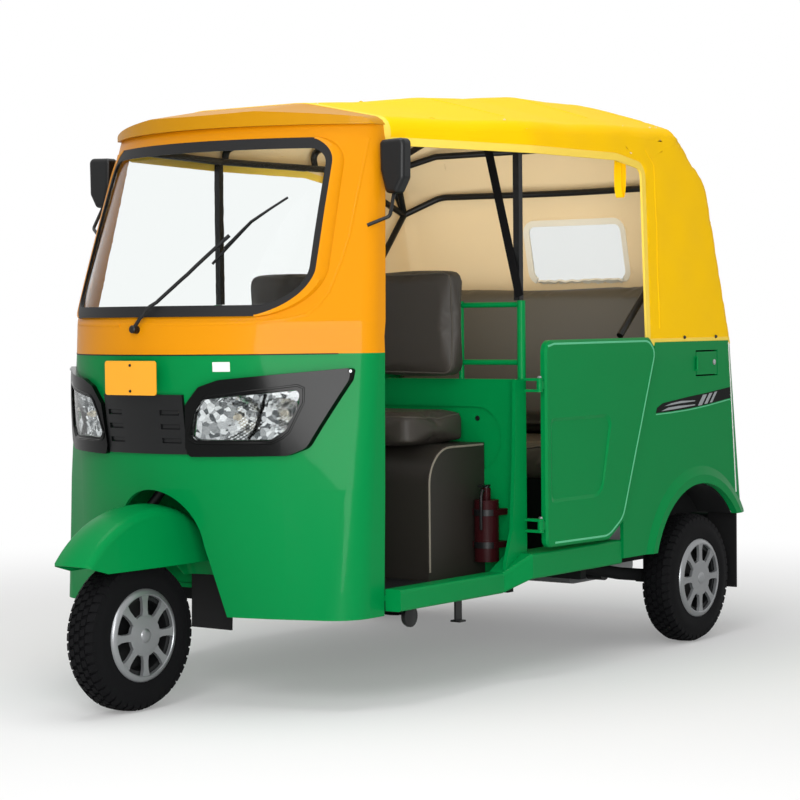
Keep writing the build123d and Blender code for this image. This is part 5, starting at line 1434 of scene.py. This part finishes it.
# %% Floor and background
floor_size = 60
floor_mesh = bpy.data.meshes.new("studio_floor")
floor_mesh.from_pydata([(x * floor_size, y * floor_size, 0) for x, y in ((-1, -1), (1, -1), (1, 1), (-1, 1))],
                       [], [(0, 1, 2, 3)])
floor = bpy.data.objects.new("studio_floor", floor_mesh)
scene.collection.objects.link(floor)
floor_paper = bpy.data.materials.new("white_seamless_studio_paper")
floor_paper.use_nodes = True
paper = floor_paper.node_tree
paper.nodes.clear()
paper_where = add_node(paper, "ShaderNodeTexCoord").outputs["Object"]
paper_far = add_node(paper, "ShaderNodeVectorMath", {"operation": "LENGTH"}, {0: paper_where})
paper_fade = add_node(paper, "ShaderNodeMapRange", {"interpolation_type": "SMOOTHSTEP"},
                      {"Value": paper_far.outputs["Value"], "From Min": 1.2, "From Max": 4.2,
                       "To Min": 0.22, "To Max": 1.0})
paper_rays = add_node(paper, "ShaderNodeLightPath")
paper_seen = add_node(paper, "ShaderNodeMath", {"operation": "MAXIMUM"},
                      {0: paper_rays.outputs["Is Camera Ray"], 1: paper_rays.outputs["Is Transmission Ray"]})
paper_share = add_node(paper, "ShaderNodeMath", {"operation": "MULTIPLY"},
                       {0: paper_seen.outputs[0], 1: paper_fade.outputs[0]})
paper_diffuse = add_node(paper, "ShaderNodeBsdfDiffuse", inputs={"Color": srgb("#ececec")})
paper_white = add_node(paper, "ShaderNodeEmission", inputs={"Color": srgb("#ffffff"), "Strength": 1.0})
paper_mix = add_node(paper, "ShaderNodeMixShader", inputs={0: paper_share.outputs[0],
                                                           1: paper_diffuse.outputs[0],
                                                           2: paper_white.outputs[0]})
add_node(paper, "ShaderNodeOutputMaterial", inputs={"Surface": paper_mix.outputs[0]})
floor_mesh.materials.append(floor_paper)

world = bpy.data.worlds.new("studio_daylight")
scene.world = world
world.use_nodes = True
sky = world.node_tree
sky.nodes.clear()
sky_rays = add_node(sky, "ShaderNodeLightPath")
sky_seen = add_node(sky, "ShaderNodeMath", {"operation": "MAXIMUM"},
                    {0: sky_rays.outputs["Is Camera Ray"], 1: sky_rays.outputs["Is Transmission Ray"]})
sky_bright = add_node(sky, "ShaderNodeMath", {"operation": "MAXIMUM"},
                      {0: sky_seen.outputs[0], 1: sky_rays.outputs["Is Glossy Ray"]})
sky_level = add_node(sky, "ShaderNodeMapRange", inputs={"Value": sky_bright.outputs[0], "To Min": 0.5,
                                                        "To Max": 1.0})
sky_light = add_node(sky, "ShaderNodeBackground", inputs={"Color": srgb("#ffffff"),
                                                          "Strength": sky_level.outputs[0]})
add_node(sky, "ShaderNodeOutputWorld", inputs={"Surface": sky_light.outputs[0]})
print("floor", floor_size, "m")

# %% [markdown]
# Three large soft lamps light the cab: a key from the front left, a low one that reaches in under the
# hood, and one overhead. A weak fourth one under the hood stands in for the light that its cloth lets
# through. Big lamps give wide, soft highlights on enamel, as in a car studio, and their power is given.
# None of them is seen by the camera or through glass.

# %% Soft studio lamps
def soft_lamp(name, position, target, size, power):
    data = bpy.data.lights.new(name, "AREA")
    data.shape, data.size, data.energy = "DISK", size, power
    lamp = bpy.data.objects.new(name, data)
    scene.collection.objects.link(lamp)
    lamp.location = position
    lamp.visible_camera = lamp.visible_transmission = False
    lamp.rotation_mode = "QUATERNION"
    lamp.rotation_quaternion = (Vector(target) - Vector(position)).to_track_quat("-Z", "Y")
    return lamp


studio = [
    soft_lamp("key_lamp", (2.4, -5.2, 4.0), (0.0, -0.8, 0.7), 2.6, 96),
    soft_lamp("fill_lamp", (3.6, -3.9, 1.15), (0.0, 1.0, 1.45), 2.0, 115),
    soft_lamp("top_lamp", (0.0, -0.7, 5.0), (0.0, -0.4, 1.0), 3.0, 92),
    soft_lamp("hood_lamp", (0.0, 0.25, 1.2), (0.0, 0.75, 1.75), 0.7, 4),
]
print("lamps", [lamp.name for lamp in studio])

# %% [markdown]
# The camera stands off the vehicle's front left corner, a metre above the ground, with a long lens, so
# that upright edges stay nearly parallel. Its matrix is built from where it looks and which way is right.

# %% Camera
camera_data = bpy.data.cameras.new("camera")
camera_data.sensor_width, camera_data.lens = 36.0, 103.29
camera = bpy.data.objects.new("camera", camera_data)
scene.collection.objects.link(camera)
ahead = Vector((-0.599, 0.8007, -0.036)).normalized()
right = Vector((0.8007, 0.599, -0.010))
right = (right - ahead * right.dot(ahead)).normalized()
turn = Matrix((right, right.cross(ahead), -ahead)).transposed()
camera.matrix_world = Matrix.Translation((4.3154, -5.6159, 1.0609)) @ turn.to_4x4()
scene.camera = camera
scene.view_settings.view_transform = "Standard"
print("camera at", [round(v, 3) for v in camera.location])
